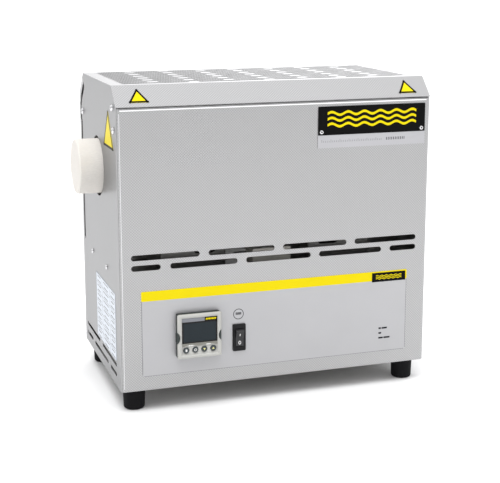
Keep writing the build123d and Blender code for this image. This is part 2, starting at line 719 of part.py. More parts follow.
# ---- tube plugs ----
for name, side in (("left_tube_plug", -1), ("right_tube_plug", 1)):
    head_plane = outward(side, HALF_W + PLUG_REACH)
    middle = side_point(side, 0, TUBE_Z)
    with BuildPart() as tube_plug:
        with BuildSketch(head_plane):
            holes([middle], PLUG_R)
        extrude(amount=-PLUG_HEAD_L)
        fillet(tube_plug.edges().filter_by(GeomType.CIRCLE), 1.6)
        recess_floor = TUBE_L / 2 + PLUG_PLAY
        with BuildSketch(outward(side, recess_floor)):
            holes([middle], TUBE_R + PLUG_PLAY)
        extrude(amount=-PLUG_HEAD_L, mode=Mode.SUBTRACT)
        with BuildSketch(outward(side, recess_floor)):
            holes([middle], TUBE_BORE_R - PLUG_PLAY)
        extrude(amount=-PLUG_STEM_L - PLUG_PLAY)
        stem_end = tube_plug.faces().sort_by(Axis.X)[-1 if side < 0 else 0]
        chamfer(stem_end.edges(), 1.0)
    save(tube_plug, name)

# ---- heater terminal block and the bare leads from the coil ----
with BuildPart() as heater_terminal_block:
    with Locations((0, HEATER_BLOCK_Y, SADDLE_Z + 11.0)):
        Box(44, 22, 22)
    fillet(heater_terminal_block.edges().filter_by(Axis.Y), 1.5)
    with BuildSketch(Plane.XY.offset(SADDLE_Z + 22.0)):
        with Locations((0, HEATER_BLOCK_Y)):
            with GridLocations(22, 0, 2, 1):
                Circle(3.5)
    extrude(amount=-8.0, mode=Mode.SUBTRACT)
    with BuildSketch(Plane.XZ.offset(-HEATER_BLOCK_Y - 11.0)):
        holes([(-BLOCK_LEAD_X, LEAD_Z), (BLOCK_LEAD_X, LEAD_Z)], LEAD_R + 0.3)
    extrude(amount=6.0, mode=Mode.SUBTRACT)
save(heater_terminal_block, "heater_terminal_block")

lead_list = []
for side in (-1, 1):
    lead_x = side * HEATED_L / 2
    lead_top = TUBE_Z - COIL_R - COIL_WIRE_R - 0.1
    lead_route = (
        (lead_x, 0, lead_top),
        (lead_x, 0, LEAD_Z),
        (lead_x, LEAD_Y, LEAD_Z),
        (side * BLOCK_LEAD_X, LEAD_Y, LEAD_Z),
        (side * BLOCK_LEAD_X, HEATER_BLOCK_Y + 6.0, LEAD_Z),
    )
    lead_list.append(wire_run(lead_route, 8.0, LEAD_R))
with BuildPart() as heater_leads:
    add(lead_list)
save(heater_leads, "heater_leads")

# ---- controller: sleeve in the panel, gasket, clip, and the unit that slides out ----
ctrl_point = (CTRL_X, CTRL_Z)
ear_points = [(CTRL_X + side * (BEZEL / 2 + EAR_R - EAR_SAG), CTRL_Z - EAR_DROP) for side in (-1, 1)]


def ear_notches():
    """Take the two round-backed ear notches out of the sketch in hand."""
    with Locations(*ear_points):
        Circle(EAR_R, mode=Mode.SUBTRACT)


with BuildPart() as controller_gasket:
    with BuildSketch(Plane.XZ.offset(-GASKET_Y)):
        with Locations(ctrl_point):
            RectangleRounded(BEZEL - 0.8, BEZEL - 0.8, 1.5)
            Rectangle(CTRL_CUTOUT, CTRL_CUTOUT, mode=Mode.SUBTRACT)
    extrude(amount=-GASKET_T)
save(controller_gasket, "controller_gasket")

with BuildPart() as controller_sleeve:
    with BuildSketch(Plane.XZ.offset(-COLLAR_Y)):
        with Locations(ctrl_point):
            RectangleRounded(BEZEL - 0.4, BEZEL - 0.4, 2.0)
        ear_notches()
    extrude(amount=-COLLAR_T)
    with BuildSketch(Plane.XZ.offset(-GASKET_Y)):
        with Locations(ctrl_point):
            Rectangle(SLEEVE, SLEEVE)
    extrude(amount=-(SLEEVE_BACK_Y - GASKET_Y))
    with BuildSketch(Plane.XZ.offset(-COLLAR_Y)):
        with Locations(ctrl_point):
            Rectangle(SLEEVE_BORE, SLEEVE_BORE)
    extrude(amount=-(SLEEVE_BACK_Y - COLLAR_Y - 2.0), mode=Mode.SUBTRACT)
    with Locations((CTRL_X, SLEEVE_BACK_Y + 5.0, CTRL_Z)):
        with GridLocations(15.0, 0, 3, 1):
            Box(9.0, 10.0, 38.0)
    with BuildSketch(Plane.XZ.offset(-SLEEVE_BACK_Y - 10.0)):
        with Locations(ctrl_point):
            with GridLocations(15.0, 6.0, 3, 6):
                Circle(1.8)
    extrude(amount=3.0, mode=Mode.SUBTRACT)
save(controller_sleeve, "controller_sleeve")

with BuildPart() as panel_clip:
    with BuildSketch(Plane.XZ.offset(-FRONT - SHEET)):
        with Locations(ctrl_point):
            RectangleRounded(52.0, 52.0, 2.0)
            Rectangle(CTRL_CUTOUT, CTRL_CUTOUT, mode=Mode.SUBTRACT)
    extrude(amount=-8.0)
save(panel_clip, "panel_clip")

for name, (x, z) in zip(("left_latch_ear", "right_latch_ear"), ear_points):
    with BuildPart() as latch_ear:
        with BuildSketch(Plane.XZ.offset(-BEZEL_Y - 0.5)):
            with Locations((x, z)):
                Circle(EAR_R - EAR_PLAY)
            with Locations(ctrl_point):
                Rectangle(BEZEL - 0.4, BEZEL, mode=Mode.INTERSECT)
        extrude(amount=-(GASKET_Y - BEZEL_Y - 0.9))
        fillet(latch_ear.edges().group_by(Axis.Y)[0], 0.5)
        outer_x = CTRL_X + (BEZEL / 2 - 0.2) * (1 if x > CTRL_X else -1)
        with BuildSketch(Plane.XY.offset(z - EAR_HINGE_L / 2)):
            holes([(outer_x, EAR_HINGE_Y)], EAR_HINGE_R)
        extrude(amount=EAR_HINGE_L)
    save(latch_ear, name)

unit_front = COLLAR_Y
with BuildPart() as controller_body:
    with Locations((CTRL_X, unit_front + UNIT_L / 2, CTRL_Z)):
        Box(UNIT, UNIT_L, UNIT)
    fillet(controller_body.edges().filter_by(Axis.Y), 1.0)
    offset(amount=-1.6, openings=controller_body.faces().sort_by(Axis.Y)[-1])
save(controller_body, "controller_body")

key_points = [(CTRL_X + x, CTRL_Z - KEY_DROP) for x in KEY_X]
window_h = WINDOW_TOP - WINDOW_BOTTOM
window_point = (CTRL_X, CTRL_Z + (WINDOW_TOP + WINDOW_BOTTOM) / 2)
with BuildPart() as controller_bezel:
    with BuildSketch(Plane.XZ.offset(-unit_front)):
        with Locations(ctrl_point):
            RectangleRounded(BEZEL, BEZEL, 2.0)
        ear_notches()
    extrude(amount=BEZEL_T)
    chamfer(controller_bezel.faces().sort_by(Axis.Y)[0].outer_wire().edges(), 0.7)
    with BuildSketch(Plane.XZ.offset(-BEZEL_Y)):
        with Locations(ctrl_point):
            RectangleRounded(WINDOW_W + 0.6, 40.4, 1.0)
    extrude(amount=-RECESS_T, mode=Mode.SUBTRACT)
    with BuildSketch(Plane.XZ.offset(-BEZEL_Y)):
        holes(key_points, KEY_R + KEY_PLAY)
    extrude(amount=-BEZEL_T, mode=Mode.SUBTRACT)
save(controller_bezel, "controller_bezel")

with BuildPart() as display_window:
    with BuildSketch(Plane.XZ.offset(-BEZEL_Y - RECESS_T)):
        with Locations(window_point):
            RectangleRounded(WINDOW_W, window_h, 0.6)
    extrude(amount=WINDOW_T)
save(display_window, "display_window")

for name, point in zip(("key_page", "key_scroll", "key_down", "key_up"), key_points):
    with BuildPart() as key:
        with BuildSketch(Plane.XZ.offset(-BEZEL_Y)):
            holes([point], KEY_R)
        extrude(amount=-BEZEL_T + 1.2)
        fillet(key.edges().group_by(Axis.Y)[0], 0.6)
    save(key, name)

# ---- rocker switch ----
switch_point = (SWITCH_X, SWITCH_Z)
pivot = (ROCKER_PIVOT_Y, SWITCH_Z)
with BuildPart() as switch_housing:
    with BuildSketch(Plane.XZ.offset(-FACE_Y)):
        with Locations(switch_point):
            RectangleRounded(SWITCH_W, SWITCH_H, 1.2)
    extrude(amount=SWITCH_RIM)
    chamfer(switch_housing.edges().group_by(Axis.Y)[0], 0.5)
    with BuildSketch(Plane.XZ.offset(-FACE_Y)):
        with Locations(switch_point):
            Rectangle(SWITCH_CUTOUT_W - 0.2, SWITCH_CUTOUT_H - 0.2)
    extrude(amount=-22.0)
    with BuildSketch(Plane.XZ.offset(-FACE_Y + SWITCH_RIM)):
        with Locations(switch_point):
            Rectangle(ROCKER_W + 0.5, 2 * (ROCKER_R + ROCKER_PLAY))
    extrude(amount=-SWITCH_RIM - 7.0, mode=Mode.SUBTRACT)
    with BuildSketch(Plane.YZ.offset(SWITCH_X - ROCKER_W / 2 - 1.2)):
        holes([pivot], PIN_R + PIN_PLAY)
    extrude(amount=ROCKER_W + 2.4, mode=Mode.SUBTRACT)
save(switch_housing, "switch_housing")

crest_u = sqrt(ROCKER_R ** 2 - ROCKER_CREST ** 2)
back_v = sqrt(ROCKER_R ** 2 - ROCKER_BACK ** 2)
rocker_plane = Plane(
    origin=(SWITCH_X - ROCKER_W / 2, ROCKER_PIVOT_Y, SWITCH_Z),
    x_dir=(0, -cos(radians(ROCKER_TILT)), -sin(radians(ROCKER_TILT))),
    z_dir=(1, 0, 0),
)
with BuildPart() as switch_rocker:
    with BuildSketch(rocker_plane):
        with BuildLine():
            Polyline((crest_u, ROCKER_CREST), (ROCKER_WAIST, 0), (crest_u, -ROCKER_CREST))
            ThreePointArc((crest_u, -ROCKER_CREST), (0, -ROCKER_R), (-ROCKER_BACK, -back_v))
            Line((-ROCKER_BACK, -back_v), (-ROCKER_BACK, back_v))
            ThreePointArc((-ROCKER_BACK, back_v), (0, ROCKER_R), (crest_u, ROCKER_CREST))
        make_face()
    extrude(amount=ROCKER_W)
    with BuildSketch(Plane.YZ.offset(SWITCH_X - ROCKER_W / 2 - 1.0)):
        holes([pivot], PIN_R)
    extrude(amount=ROCKER_W + 2.0)
save(switch_rocker, "switch_rocker")

# ---- power inlet on the back, with its blades and fuse drawer ----
inlet_point = (INLET_X, INLET_Z)
socket_point = (INLET_X, SOCKET_Z)
drawer_point = (INLET_X, DRAWER_Z)
flange_plane = Plane.XZ.offset(-REAR - FLANGE_T)
with BuildPart() as power_inlet:
    with BuildSketch(rear_plane):
        with Locations(inlet_point):
            RectangleRounded(FLANGE_W, FLANGE_H, 3.0)
    extrude(amount=-FLANGE_T)
    chamfer(power_inlet.edges().group_by(Axis.Y)[-1], 0.8)
    with BuildSketch(rear_plane):
        with Locations(inlet_point):
            Rectangle(INLET_W, INLET_H)
    extrude(amount=INLET_DEPTH)
    with BuildSketch(flange_plane) as socket_shape:
        with Locations(socket_point):
            Rectangle(SOCKET_W, SOCKET_H)
        lower_corners = socket_shape.vertices().group_by(Axis.Z)[0]
        chamfer(lower_corners, 4.0)
    extrude(amount=SOCKET_DEPTH + FLANGE_T, mode=Mode.SUBTRACT)
    with BuildSketch(flange_plane):
        with Locations(drawer_point):
            Rectangle(DRAWER_W + 0.6, DRAWER_H + 0.6)
    extrude(amount=DRAWER_L, mode=Mode.SUBTRACT)
    with BuildSketch(flange_plane):
        holes(INLET_SCREWS, M3_R + HOLE_PLAY)
    extrude(amount=FLANGE_T, mode=Mode.SUBTRACT)
save(power_inlet, "power_inlet")

blade_points = [(INLET_X - 7.0, SOCKET_Z + 1.5), (INLET_X + 7.0, SOCKET_Z + 1.5), (INLET_X, SOCKET_Z + 5.5)]
with BuildPart() as inlet_pins:
    with BuildSketch(Plane.XZ.offset(-BLADE_Y)):
        with Locations(*blade_points):
            Rectangle(2.0, 4.0)
    extrude(amount=BLADE_Y - REAR + SOCKET_DEPTH)
    chamfer(inlet_pins.edges().group_by(Axis.Y)[-1], 0.5)
    with BuildSketch(Plane.XZ.offset(-REAR + INLET_DEPTH)):
        with Locations(*blade_points):
            Rectangle(0.8, 6.3)
    extrude(amount=TAB_L)
save(inlet_pins, "inlet_pins")

with BuildPart() as fuse_drawer:
    with BuildSketch(flange_plane):
        with Locations(drawer_point):
            RectangleRounded(DRAWER_W + 4.0, DRAWER_H + 3.6, 1.0)
    extrude(amount=-2.2)
    fillet(fuse_drawer.edges().group_by(Axis.Y)[-1], 0.6)
    with BuildSketch(flange_plane.offset(-2.2)):
        with Locations((INLET_X, DRAWER_Z + 3.2)):
            Rectangle(10.0, 1.6)
    extrude(amount=-1.0)
    with BuildSketch(flange_plane):
        with Locations(drawer_point):
            Rectangle(DRAWER_W, DRAWER_H)
    extrude(amount=DRAWER_L - 0.5)
    with BuildSketch(Plane.XY.offset(DRAWER_Z + DRAWER_H / 2)):
        with Locations((INLET_X, REAR + FLANGE_T - FUSE_SETBACK - FUSE_L / 2)):
            Rectangle(DRAWER_W - 3.0, FUSE_L + 0.6)
    extrude(amount=-DRAWER_H + FUSE_TROUGH, mode=Mode.SUBTRACT)
save(fuse_drawer, "fuse_drawer")

fuse_z = DRAWER_Z - DRAWER_H / 2 + FUSE_TROUGH + FUSE_R + 0.1
with BuildPart() as fuse_links:
    with BuildSketch(Plane.XZ.offset(-REAR - FLANGE_T + FUSE_SETBACK)):
        holes([(INLET_X - FUSE_PITCH / 2, fuse_z), (INLET_X + FUSE_PITCH / 2, fuse_z)], FUSE_R)
    extrude(amount=FUSE_L)
save(fuse_links, "fuse_links")

# ---- power electronics on the base pan ----
sink_z = BASE_Z + SHEET
with BuildPart() as relay_heat_sink:
    with Locations((SINK_X, SINK_Y, sink_z + FIN_H + SINK_BASE / 2)):
        Box(SINK_W, SINK_D, SINK_BASE)
    with Locations((SINK_X, SINK_Y, sink_z + FIN_H / 2)):
        with GridLocations((SINK_W - FIN_T) / (FIN_COUNT - 1), 0, FIN_COUNT, 1):
            Box(FIN_T, SINK_D, FIN_H)
save(relay_heat_sink, "relay_heat_sink")

relay_z = sink_z + FIN_H + SINK_BASE
with BuildPart() as solid_state_relay:
    with Locations((SINK_X, SINK_Y, relay_z + RELAY_H / 2)):
        Box(RELAY_W, RELAY_D, RELAY_H)
    fillet(solid_state_relay.edges().group_by(Axis.Z)[-1], 1.5)
    with BuildSketch(Plane.XY.offset(relay_z + RELAY_H)):
        with Locations((SINK_X, SINK_Y)):
            with GridLocations(25.0, 46.0, 2, 2):
                Rectangle(12.0, 9.0)
    extrude(amount=-6.0, mode=Mode.SUBTRACT)
    with BuildSketch(Plane.XY.offset(relay_z + RELAY_H - 6.0)):
        with Locations((SINK_X, SINK_Y)):
            with GridLocations(25.0, 46.0, 2, 2):
                Circle(3.4)
    extrude(amount=3.0)
save(solid_state_relay, "solid_state_relay")

block_z = BASE_Z + SHEET
pole_x = [BLOCK_X + (step - 1.5) * POLE_PITCH for step in range(4)]
with BuildPart() as supply_terminal_block:
    with Locations((BLOCK_X, BLOCK_Y, block_z + BLOCK_H / 2)):
        Box(BLOCK_W, BLOCK_D, BLOCK_H)
    fillet(supply_terminal_block.edges().group_by(Axis.Z)[-1], 1.0)
    with BuildSketch(Plane.XY.offset(block_z + BLOCK_H)):
        with Locations((BLOCK_X, BLOCK_Y)):
            with GridLocations(POLE_PITCH, 12.0, 4, 2):
                Circle(2.6)
    extrude(amount=-5.0, mode=Mode.SUBTRACT)
    with BuildSketch(Plane.XZ.offset(-BLOCK_Y + BLOCK_D / 2)):
        holes([(x, block_z + 9.0) for x in pole_x], 1.7)
    extrude(amount=-5.0, mode=Mode.SUBTRACT)
    with BuildSketch(Plane.XZ.offset(-BLOCK_Y - BLOCK_D / 2)):
        holes([(x, block_z + 9.0) for x in pole_x], 1.7)
    extrude(amount=5.0, mode=Mode.SUBTRACT)
save(supply_terminal_block, "supply_terminal_block")

# ---- wires, each along its own route ----
tab_y = TAB_Y - 0.1
tab_z = SOCKET_Z + 1.5
pole_z = block_z + 9.0
pole_rear = BLOCK_Y + BLOCK_D / 2 - 4.5
pole_front = BLOCK_Y - BLOCK_D / 2 + 4.5
switch_back = FACE_Y + 22.1
relay_top = relay_z + RELAY_H - 2.9
relay_in_y = SINK_Y + 23.0
relay_out_y = SINK_Y - 23.0
relay_x = (SINK_X - 12.5, SINK_X + 12.5)
terminal_y = SLEEVE_BACK_Y + 10.0 - 2.8
terminal_z = [CTRL_Z + (step - 2.5) * 6.0 for step in range(6)]
wire_hole_x, wire_hole_y = PROBE_WIRE_HOLE

MAINS_ROUTES = (
    ((103, tab_y, tab_z), (103, 50, tab_z), (pole_x[0], 44, pole_z), (pole_x[0], pole_rear, pole_z)),
    ((117, tab_y, tab_z), (117, 56, tab_z), (pole_x[1], 44, pole_z), (pole_x[1], pole_rear, pole_z)),
    (
        (pole_x[0], pole_front, pole_z),
        (pole_x[0], -50, pole_z),
        (-42, -50, pole_z),
        (-42, -50, 66),
        (-42, switch_back, 66),
    ),
    (
        (pole_x[1], pole_front, pole_z),
        (pole_x[1], -56, pole_z),
        (-49, -56, pole_z),
        (-49, -56, 79),
        (-49, switch_back, 79),
    ),
)
HEATER_ROUTES = (
    (
        (relay_x[0], relay_out_y, relay_top),
        (relay_x[0], relay_out_y, 90),
        (HEATER_WIRE_X, HEATER_BLOCK_Y, 110),
        (HEATER_WIRE_X, HEATER_BLOCK_Y, SADDLE_Z - 0.1),
    ),
    (
        (pole_x[2], pole_front, pole_z),
        (pole_x[2], -62, pole_z),
        (-HEATER_WIRE_X, -62, pole_z),
        (-HEATER_WIRE_X, HEATER_BLOCK_Y, 100),
        (-HEATER_WIRE_X, HEATER_BLOCK_Y, SADDLE_Z - 0.1),
    ),
    (
        (pole_x[3], pole_front, pole_z),
        (pole_x[3], -26, pole_z),
        (pole_x[3], -26, 88),
        (relay_x[1], relay_out_y, 88),
        (relay_x[1], relay_out_y, relay_top),
    ),
)
CONTROL_ROUTES = (
    (
        (relay_x[0], relay_in_y, relay_top),
        (relay_x[0], relay_in_y, 90),
        (-60, 45, 96),
        (CTRL_X + 15, 20, terminal_z[3]),
        (CTRL_X + 15, terminal_y, terminal_z[3]),
    ),
    (
        (relay_x[1], relay_in_y, relay_top),
        (relay_x[1], relay_in_y, 98),
        (-60, 52, 104),
        (CTRL_X + 15, 24, terminal_z[4]),
        (CTRL_X + 15, terminal_y, terminal_z[4]),
    ),
    (
        (PROBE_X - 3.5, 90, TUBE_Z - 8.1),
        (PROBE_X - 3.5, 90, 200),
        (wire_hole_x - 2.5, wire_hole_y, 170),
        (wire_hole_x - 2.5, wire_hole_y, 60),
        (CTRL_X, 30, terminal_z[1]),
        (CTRL_X, terminal_y, terminal_z[1]),
    ),
    (
        (PROBE_X + 3.5, 90, TUBE_Z - 8.1),
        (PROBE_X + 3.5, 90, 203),
        (wire_hole_x + 2.5, wire_hole_y, 172),
        (wire_hole_x + 2.5, wire_hole_y, 52),
        (CTRL_X - 15, 30, terminal_z[0]),
        (CTRL_X - 15, terminal_y, terminal_z[0]),
    ),
)
EARTH_ROUTES = (
    (
        (INLET_X, tab_y, SOCKET_Z + 5.5),
        (INLET_X, 58, SOCKET_Z + 5.5),
        (INLET_X, 58, 90),
        (STUD_X, STUD_Y, 90),
        (STUD_X, STUD_Y, BASE_Z + SHEET + 14.1),
    ),
)
wire_sets = (
    ("mains_wires", MAINS_ROUTES, MAINS_WIRE_R),
    ("heater_wires", HEATER_ROUTES, MAINS_WIRE_R),
    ("control_wires", CONTROL_ROUTES, CONTROL_WIRE_R),
    ("earth_wire", EARTH_ROUTES, MAINS_WIRE_R),
)
for name, routes, radius in wire_sets:
    runs = [wire_run(route, WIRE_BEND, radius) for route in routes]
    with BuildPart() as wires:
        add(runs)
    save(wires, name)
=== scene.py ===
"""Looks of a compact tube furnace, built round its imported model.

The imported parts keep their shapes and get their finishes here. Printed films, marks,
the fibre plugs and the controller's face details are modelled as new pieces, each of
which rides on the body that carries it. Lengths are in metres.
"""

import json
import logging
import math
from dataclasses import dataclass, field
from enum import Enum
from typing import Callable, Iterable, Sequence

import bmesh
import bpy
from mathutils import Matrix, Vector, noise


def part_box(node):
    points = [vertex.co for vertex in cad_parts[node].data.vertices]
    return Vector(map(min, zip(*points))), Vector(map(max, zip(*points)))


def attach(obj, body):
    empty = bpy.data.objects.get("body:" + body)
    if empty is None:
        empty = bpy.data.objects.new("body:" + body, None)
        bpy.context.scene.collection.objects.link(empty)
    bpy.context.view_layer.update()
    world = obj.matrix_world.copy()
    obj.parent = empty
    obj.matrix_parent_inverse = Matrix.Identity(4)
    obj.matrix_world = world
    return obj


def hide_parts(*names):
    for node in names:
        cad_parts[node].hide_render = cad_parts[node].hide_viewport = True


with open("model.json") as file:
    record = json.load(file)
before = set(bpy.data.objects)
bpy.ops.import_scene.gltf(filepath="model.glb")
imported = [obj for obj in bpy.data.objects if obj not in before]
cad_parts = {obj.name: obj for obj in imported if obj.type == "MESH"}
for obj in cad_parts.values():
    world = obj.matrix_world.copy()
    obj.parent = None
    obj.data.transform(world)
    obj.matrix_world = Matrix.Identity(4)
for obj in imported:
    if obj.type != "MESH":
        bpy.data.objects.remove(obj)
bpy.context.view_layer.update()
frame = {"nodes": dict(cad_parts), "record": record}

LOG = logging.getLogger("tube_furnace")

MM = 0.001
FILM = 0.06 * MM          # thickness of printed ink and foil
MIX_COLOURS = (6, 7)      # the two colour inputs of a Mix node set to colours
MIX_RESULT = 2            # and its colour output

Socket = bpy.types.NodeSocket
Colour = tuple[float, float, float]
Point2 = tuple[float, float]


def srgb(red: int, green: int, blue: int) -> Colour:
    """Linear colour of an eight-bit screen colour.

    Args:
        red: Red share, 0 to 255.
        green: Green share, 0 to 255.
        blue: Blue share, 0 to 255.

    Returns:
        The three linear shares.
    """
    shares = []
    for value in (red, green, blue):
        share = value / 255
        shares.append(share / 12.92 if share <= 0.04045 else ((share + 0.055) / 1.055) ** 2.4)
    return (shares[0], shares[1], shares[2])


def shaded(colour: Colour, share: float) -> Colour:
    """The colour made darker or lighter by a share of itself."""
    return (colour[0] * share, colour[1] * share, colour[2] * share)


class Body(str, Enum):
    """The bodies that a new piece can ride on."""

    CASING = "casing"
    LEFT_PLUG = "left_plug"
    RIGHT_PLUG = "right_plug"
    ROCKER = "rocker"
    CONTROLLER = "controller_unit"
    PAGE_KEY = "page_key"
    SCROLL_KEY = "scroll_key"
    DOWN_KEY = "down_key"
    UP_KEY = "up_key"


class Relief(Enum):
    """The kinds of surface relief that a sheet of steel can have."""

    LINEN = "linen"
    ROLLED = "rolled"
    SPANGLE = "spangle"


class Sleeve(Enum):
    """The kinds of sleeve on a wire."""

    PLAIN = "plain"
    BRAIDED = "braided"
    STRIPED = "striped"


# ---------------------------------------------------------------- finishes


class Nodes:
    """Short typed calls that lay out the node tree of one finish."""

    def __init__(self, name: str) -> None:
        """Start an empty material.

        Args:
            name: Name of the material.
        """
        self.material = bpy.data.materials.new(name)
        self.material.use_nodes = True
        self.tree = self.material.node_tree
        self.shader = self.tree.nodes["Principled BSDF"]
        self.coordinates = self.tree.nodes.new("ShaderNodeTexCoord")

    def feed(self, socket: Socket, value: Socket | float | Sequence[float]) -> None:
        """Link a socket, or set it, to the value given.

        Args:
            socket: The input to fill.
            value: Another node's output, or a plain value.
        """
        if isinstance(value, bpy.types.NodeSocket):
            self.tree.links.new(value, socket)
        else:
            socket.default_value = value

    def place(self, scale: float | Sequence[float] = 1.0, turn: Sequence[float] = (0, 0, 0)) -> Socket:
        """Object coordinates, scaled and turned.

        Args:
            scale: One factor, or one for each axis.
            turn: Rotation in radians.

        Returns:
            The vector output.
        """
        node = self.tree.nodes.new("ShaderNodeMapping")
        sizes = (scale, scale, scale) if isinstance(scale, (int, float)) else tuple(scale)
        node.inputs["Scale"].default_value = sizes
        node.inputs["Rotation"].default_value = turn
        self.feed(node.inputs["Vector"], self.coordinates.outputs["Object"])
        return node.outputs["Vector"]

    def noise(self, vector: Socket, scale: float, detail: float = 3.0, rough: float = 0.5) -> Socket:
        """Soft noise between 0 and 1.

        Args:
            vector: Where it is read.
            scale: Cells to the metre of the vector.
            detail: Octaves.
            rough: Share of the finer octaves.

        Returns:
            The factor output.
        """
        node = self.tree.nodes.new("ShaderNodeTexNoise")
        self.feed(node.inputs["Vector"], vector)
        node.inputs["Scale"].default_value = scale
        node.inputs["Detail"].default_value = detail
        node.inputs["Roughness"].default_value = rough
        return node.outputs["Fac"]

    def cells(self, vector: Socket, scale: float, edges: bool = False) -> Socket:
        """Voronoi cells.

        Args:
            vector: Where they are read.
            scale: Cells to the metre of the vector.
            edges: True for the distance to the edge, False for the cell's own shade.

        Returns:
            The distance or colour output.
        """
        node = self.tree.nodes.new("ShaderNodeTexVoronoi")
        node.feature = "DISTANCE_TO_EDGE" if edges else "F1"
        self.feed(node.inputs["Vector"], vector)
        node.inputs["Scale"].default_value = scale
        return node.outputs["Distance" if edges else "Color"]

    def maths(self, kind: str, first: Socket | float, second: Socket | float = 0.0) -> Socket:
        """One sum of two values.

        Args:
            kind: Operation of the Math node.
            first: First value.
            second: Second value.

        Returns:
            The result.
        """
        node = self.tree.nodes.new("ShaderNodeMath")
        node.operation = kind
        self.feed(node.inputs[0], first)
        self.feed(node.inputs[1], second)
        return node.outputs[0]

    def vector(
        self, kind: str, first: Socket | Sequence[float], second: Socket | Sequence[float], out: str,
    ) -> Socket:
        """One sum of two vectors.

        Args:
            kind: Operation of the Vector Math node.
            first: First vector.
            second: Second vector.
            out: Output to read, Vector or Value.

        Returns:
            The result.
        """
        node = self.tree.nodes.new("ShaderNodeVectorMath")
        node.operation = kind
        self.feed(node.inputs[0], first)
        self.feed(node.inputs[1], second)
        return node.outputs[out]

    def ramp(self, value: Socket, low: float, high: float, start: float = 0.0, end: float = 1.0) -> Socket:
        """Map a value from one range to another and clamp it.

        Args:
            value: The value.
            low: Where the first range starts.
            high: Where it ends.
            start: Result at low.
            end: Result at high.

        Returns:
            The result.
        """
        node = self.tree.nodes.new("ShaderNodeMapRange")
        self.feed(node.inputs["Value"], value)
        for name, number in (("From Min", low), ("From Max", high), ("To Min", start), ("To Max", end)):
            node.inputs[name].default_value = number
        return node.outputs["Result"]

    def mix(self, share: Socket, first: Colour | Socket, second: Colour | Socket) -> Socket:
        """Blend two colours.

        Args:
            share: Share of the second.
            first: First colour.
            second: Second colour.

        Returns:
            The blended colour.
        """
        node = self.tree.nodes.new("ShaderNodeMix")
        node.data_type = "RGBA"
        self.feed(node.inputs["Factor"], share)
        for socket, colour in zip(MIX_COLOURS, (first, second)):
            linked = isinstance(colour, bpy.types.NodeSocket)
            self.feed(node.inputs[socket], colour if linked else (*colour, 1.0))
        return node.outputs[MIX_RESULT]

    def relief(self, height: Socket, depth: float, under: Socket | None = None) -> Socket:
        """Bump of a real depth.

        Args:
            height: Height between 0 and 1.
            depth: Depth in metres.
            under: Normal that this one adds to.

        Returns:
            The normal.
        """
        node = self.tree.nodes.new("ShaderNodeBump")
        node.inputs["Distance"].default_value = depth
        self.feed(node.inputs["Height"], height)
        if under is not None:
            self.feed(node.inputs["Normal"], under)
        return node.outputs["Normal"]

    def finish(self, **sockets: Socket | float | Sequence[float]) -> bpy.types.Material:
        """Fill the shader's sockets and hand over the material.

        Args:
            **sockets: Values by socket name, with underscores for spaces.

        Returns:
            The material.
        """
        for name, value in sockets.items():
            self.feed(self.shader.inputs[name.replace("_", " ")], value)
        return self.material


@dataclass(frozen=True)
class Finish:
    """A named surface that can make its own material."""

    name: str
    colour: Colour

    def make(self) -> bpy.types.Material:
        """Build the material."""
        raise NotImplementedError


@dataclass(frozen=True)
class SheetSteel(Finish):
    """Stainless or zinc-coated sheet, with the relief of its rolling."""

    relief: Relief = Relief.ROLLED
    rough: float = 0.4
    pitch: float = 2.0 * MM
    depth: float = 0.03 * MM
    edge: float = 1.0

    def make(self) -> bpy.types.Material:
        """Build the material.

        Returns:
            A metal with cloudy tone, fine scratches and its relief.
        """
        nodes = Nodes(self.name)
        cloud = nodes.noise(nodes.place((1.0, 1.0, 0.6)), 9.0, 3.0, 0.55)
        grain = nodes.noise(nodes.place((60.0, 1500.0, 1500.0)), 1.0, 2.0, 0.6)
        tone = nodes.maths("ADD", nodes.maths("MULTIPLY", cloud, 0.6), nodes.maths("MULTIPLY", grain, 0.4))
        if self.relief is Relief.LINEN:
            height = self._linen(nodes)
        elif self.relief is Relief.SPANGLE:
            height = nodes.maths("ADD", nodes.cells(nodes.place(), 160.0), grain)
        else:
            height = grain
        share, spread = (0.85, 0.2) if self.relief is Relief.LINEN else (0.4, 0.07)
        toned = nodes.maths("MULTIPLY", tone, 1 - share)
        shade = nodes.maths("ADD", toned, nodes.maths("MULTIPLY", height, share))
        colour = nodes.mix(shade, shaded(self.colour, 1 - spread), shaded(self.colour, 1 + spread))
        rough = nodes.ramp(tone, 0.2, 0.8, self.rough - 0.05, self.rough + 0.06)
        return nodes.finish(
            Base_Color=colour,
            Metallic=1.0,
            Roughness=rough,
            Specular_Tint=(self.edge, self.edge, self.edge, 1.0),
            Normal=nodes.relief(height, self.depth),
        )

    def _linen(self, nodes: Nodes) -> Socket:
        """Crossed rows of small raised lozenges, in the plane of each face.

        Args:
            nodes: The tree in hand.

        Returns:
            Height between 0 and 1.
        """
        geometry = nodes.tree.nodes.new("ShaderNodeNewGeometry")
        along = nodes.vector("CROSS_PRODUCT", geometry.outputs["True Normal"], (1.0, 0.0, 0.0), "Vector")
        place = nodes.place()
        across = nodes.vector("DOT_PRODUCT", place, (1.0, 0.0, 0.0), "Value")
        rise = nodes.vector("DOT_PRODUCT", place, along, "Value")
        turns = 2 * math.pi / self.pitch
        first = nodes.maths("SINE", nodes.maths("MULTIPLY", across, turns))
        second = nodes.maths("SINE", nodes.maths("MULTIPLY", rise, turns))
        return nodes.ramp(nodes.maths("MULTIPLY", first, second), -0.6, 0.9)


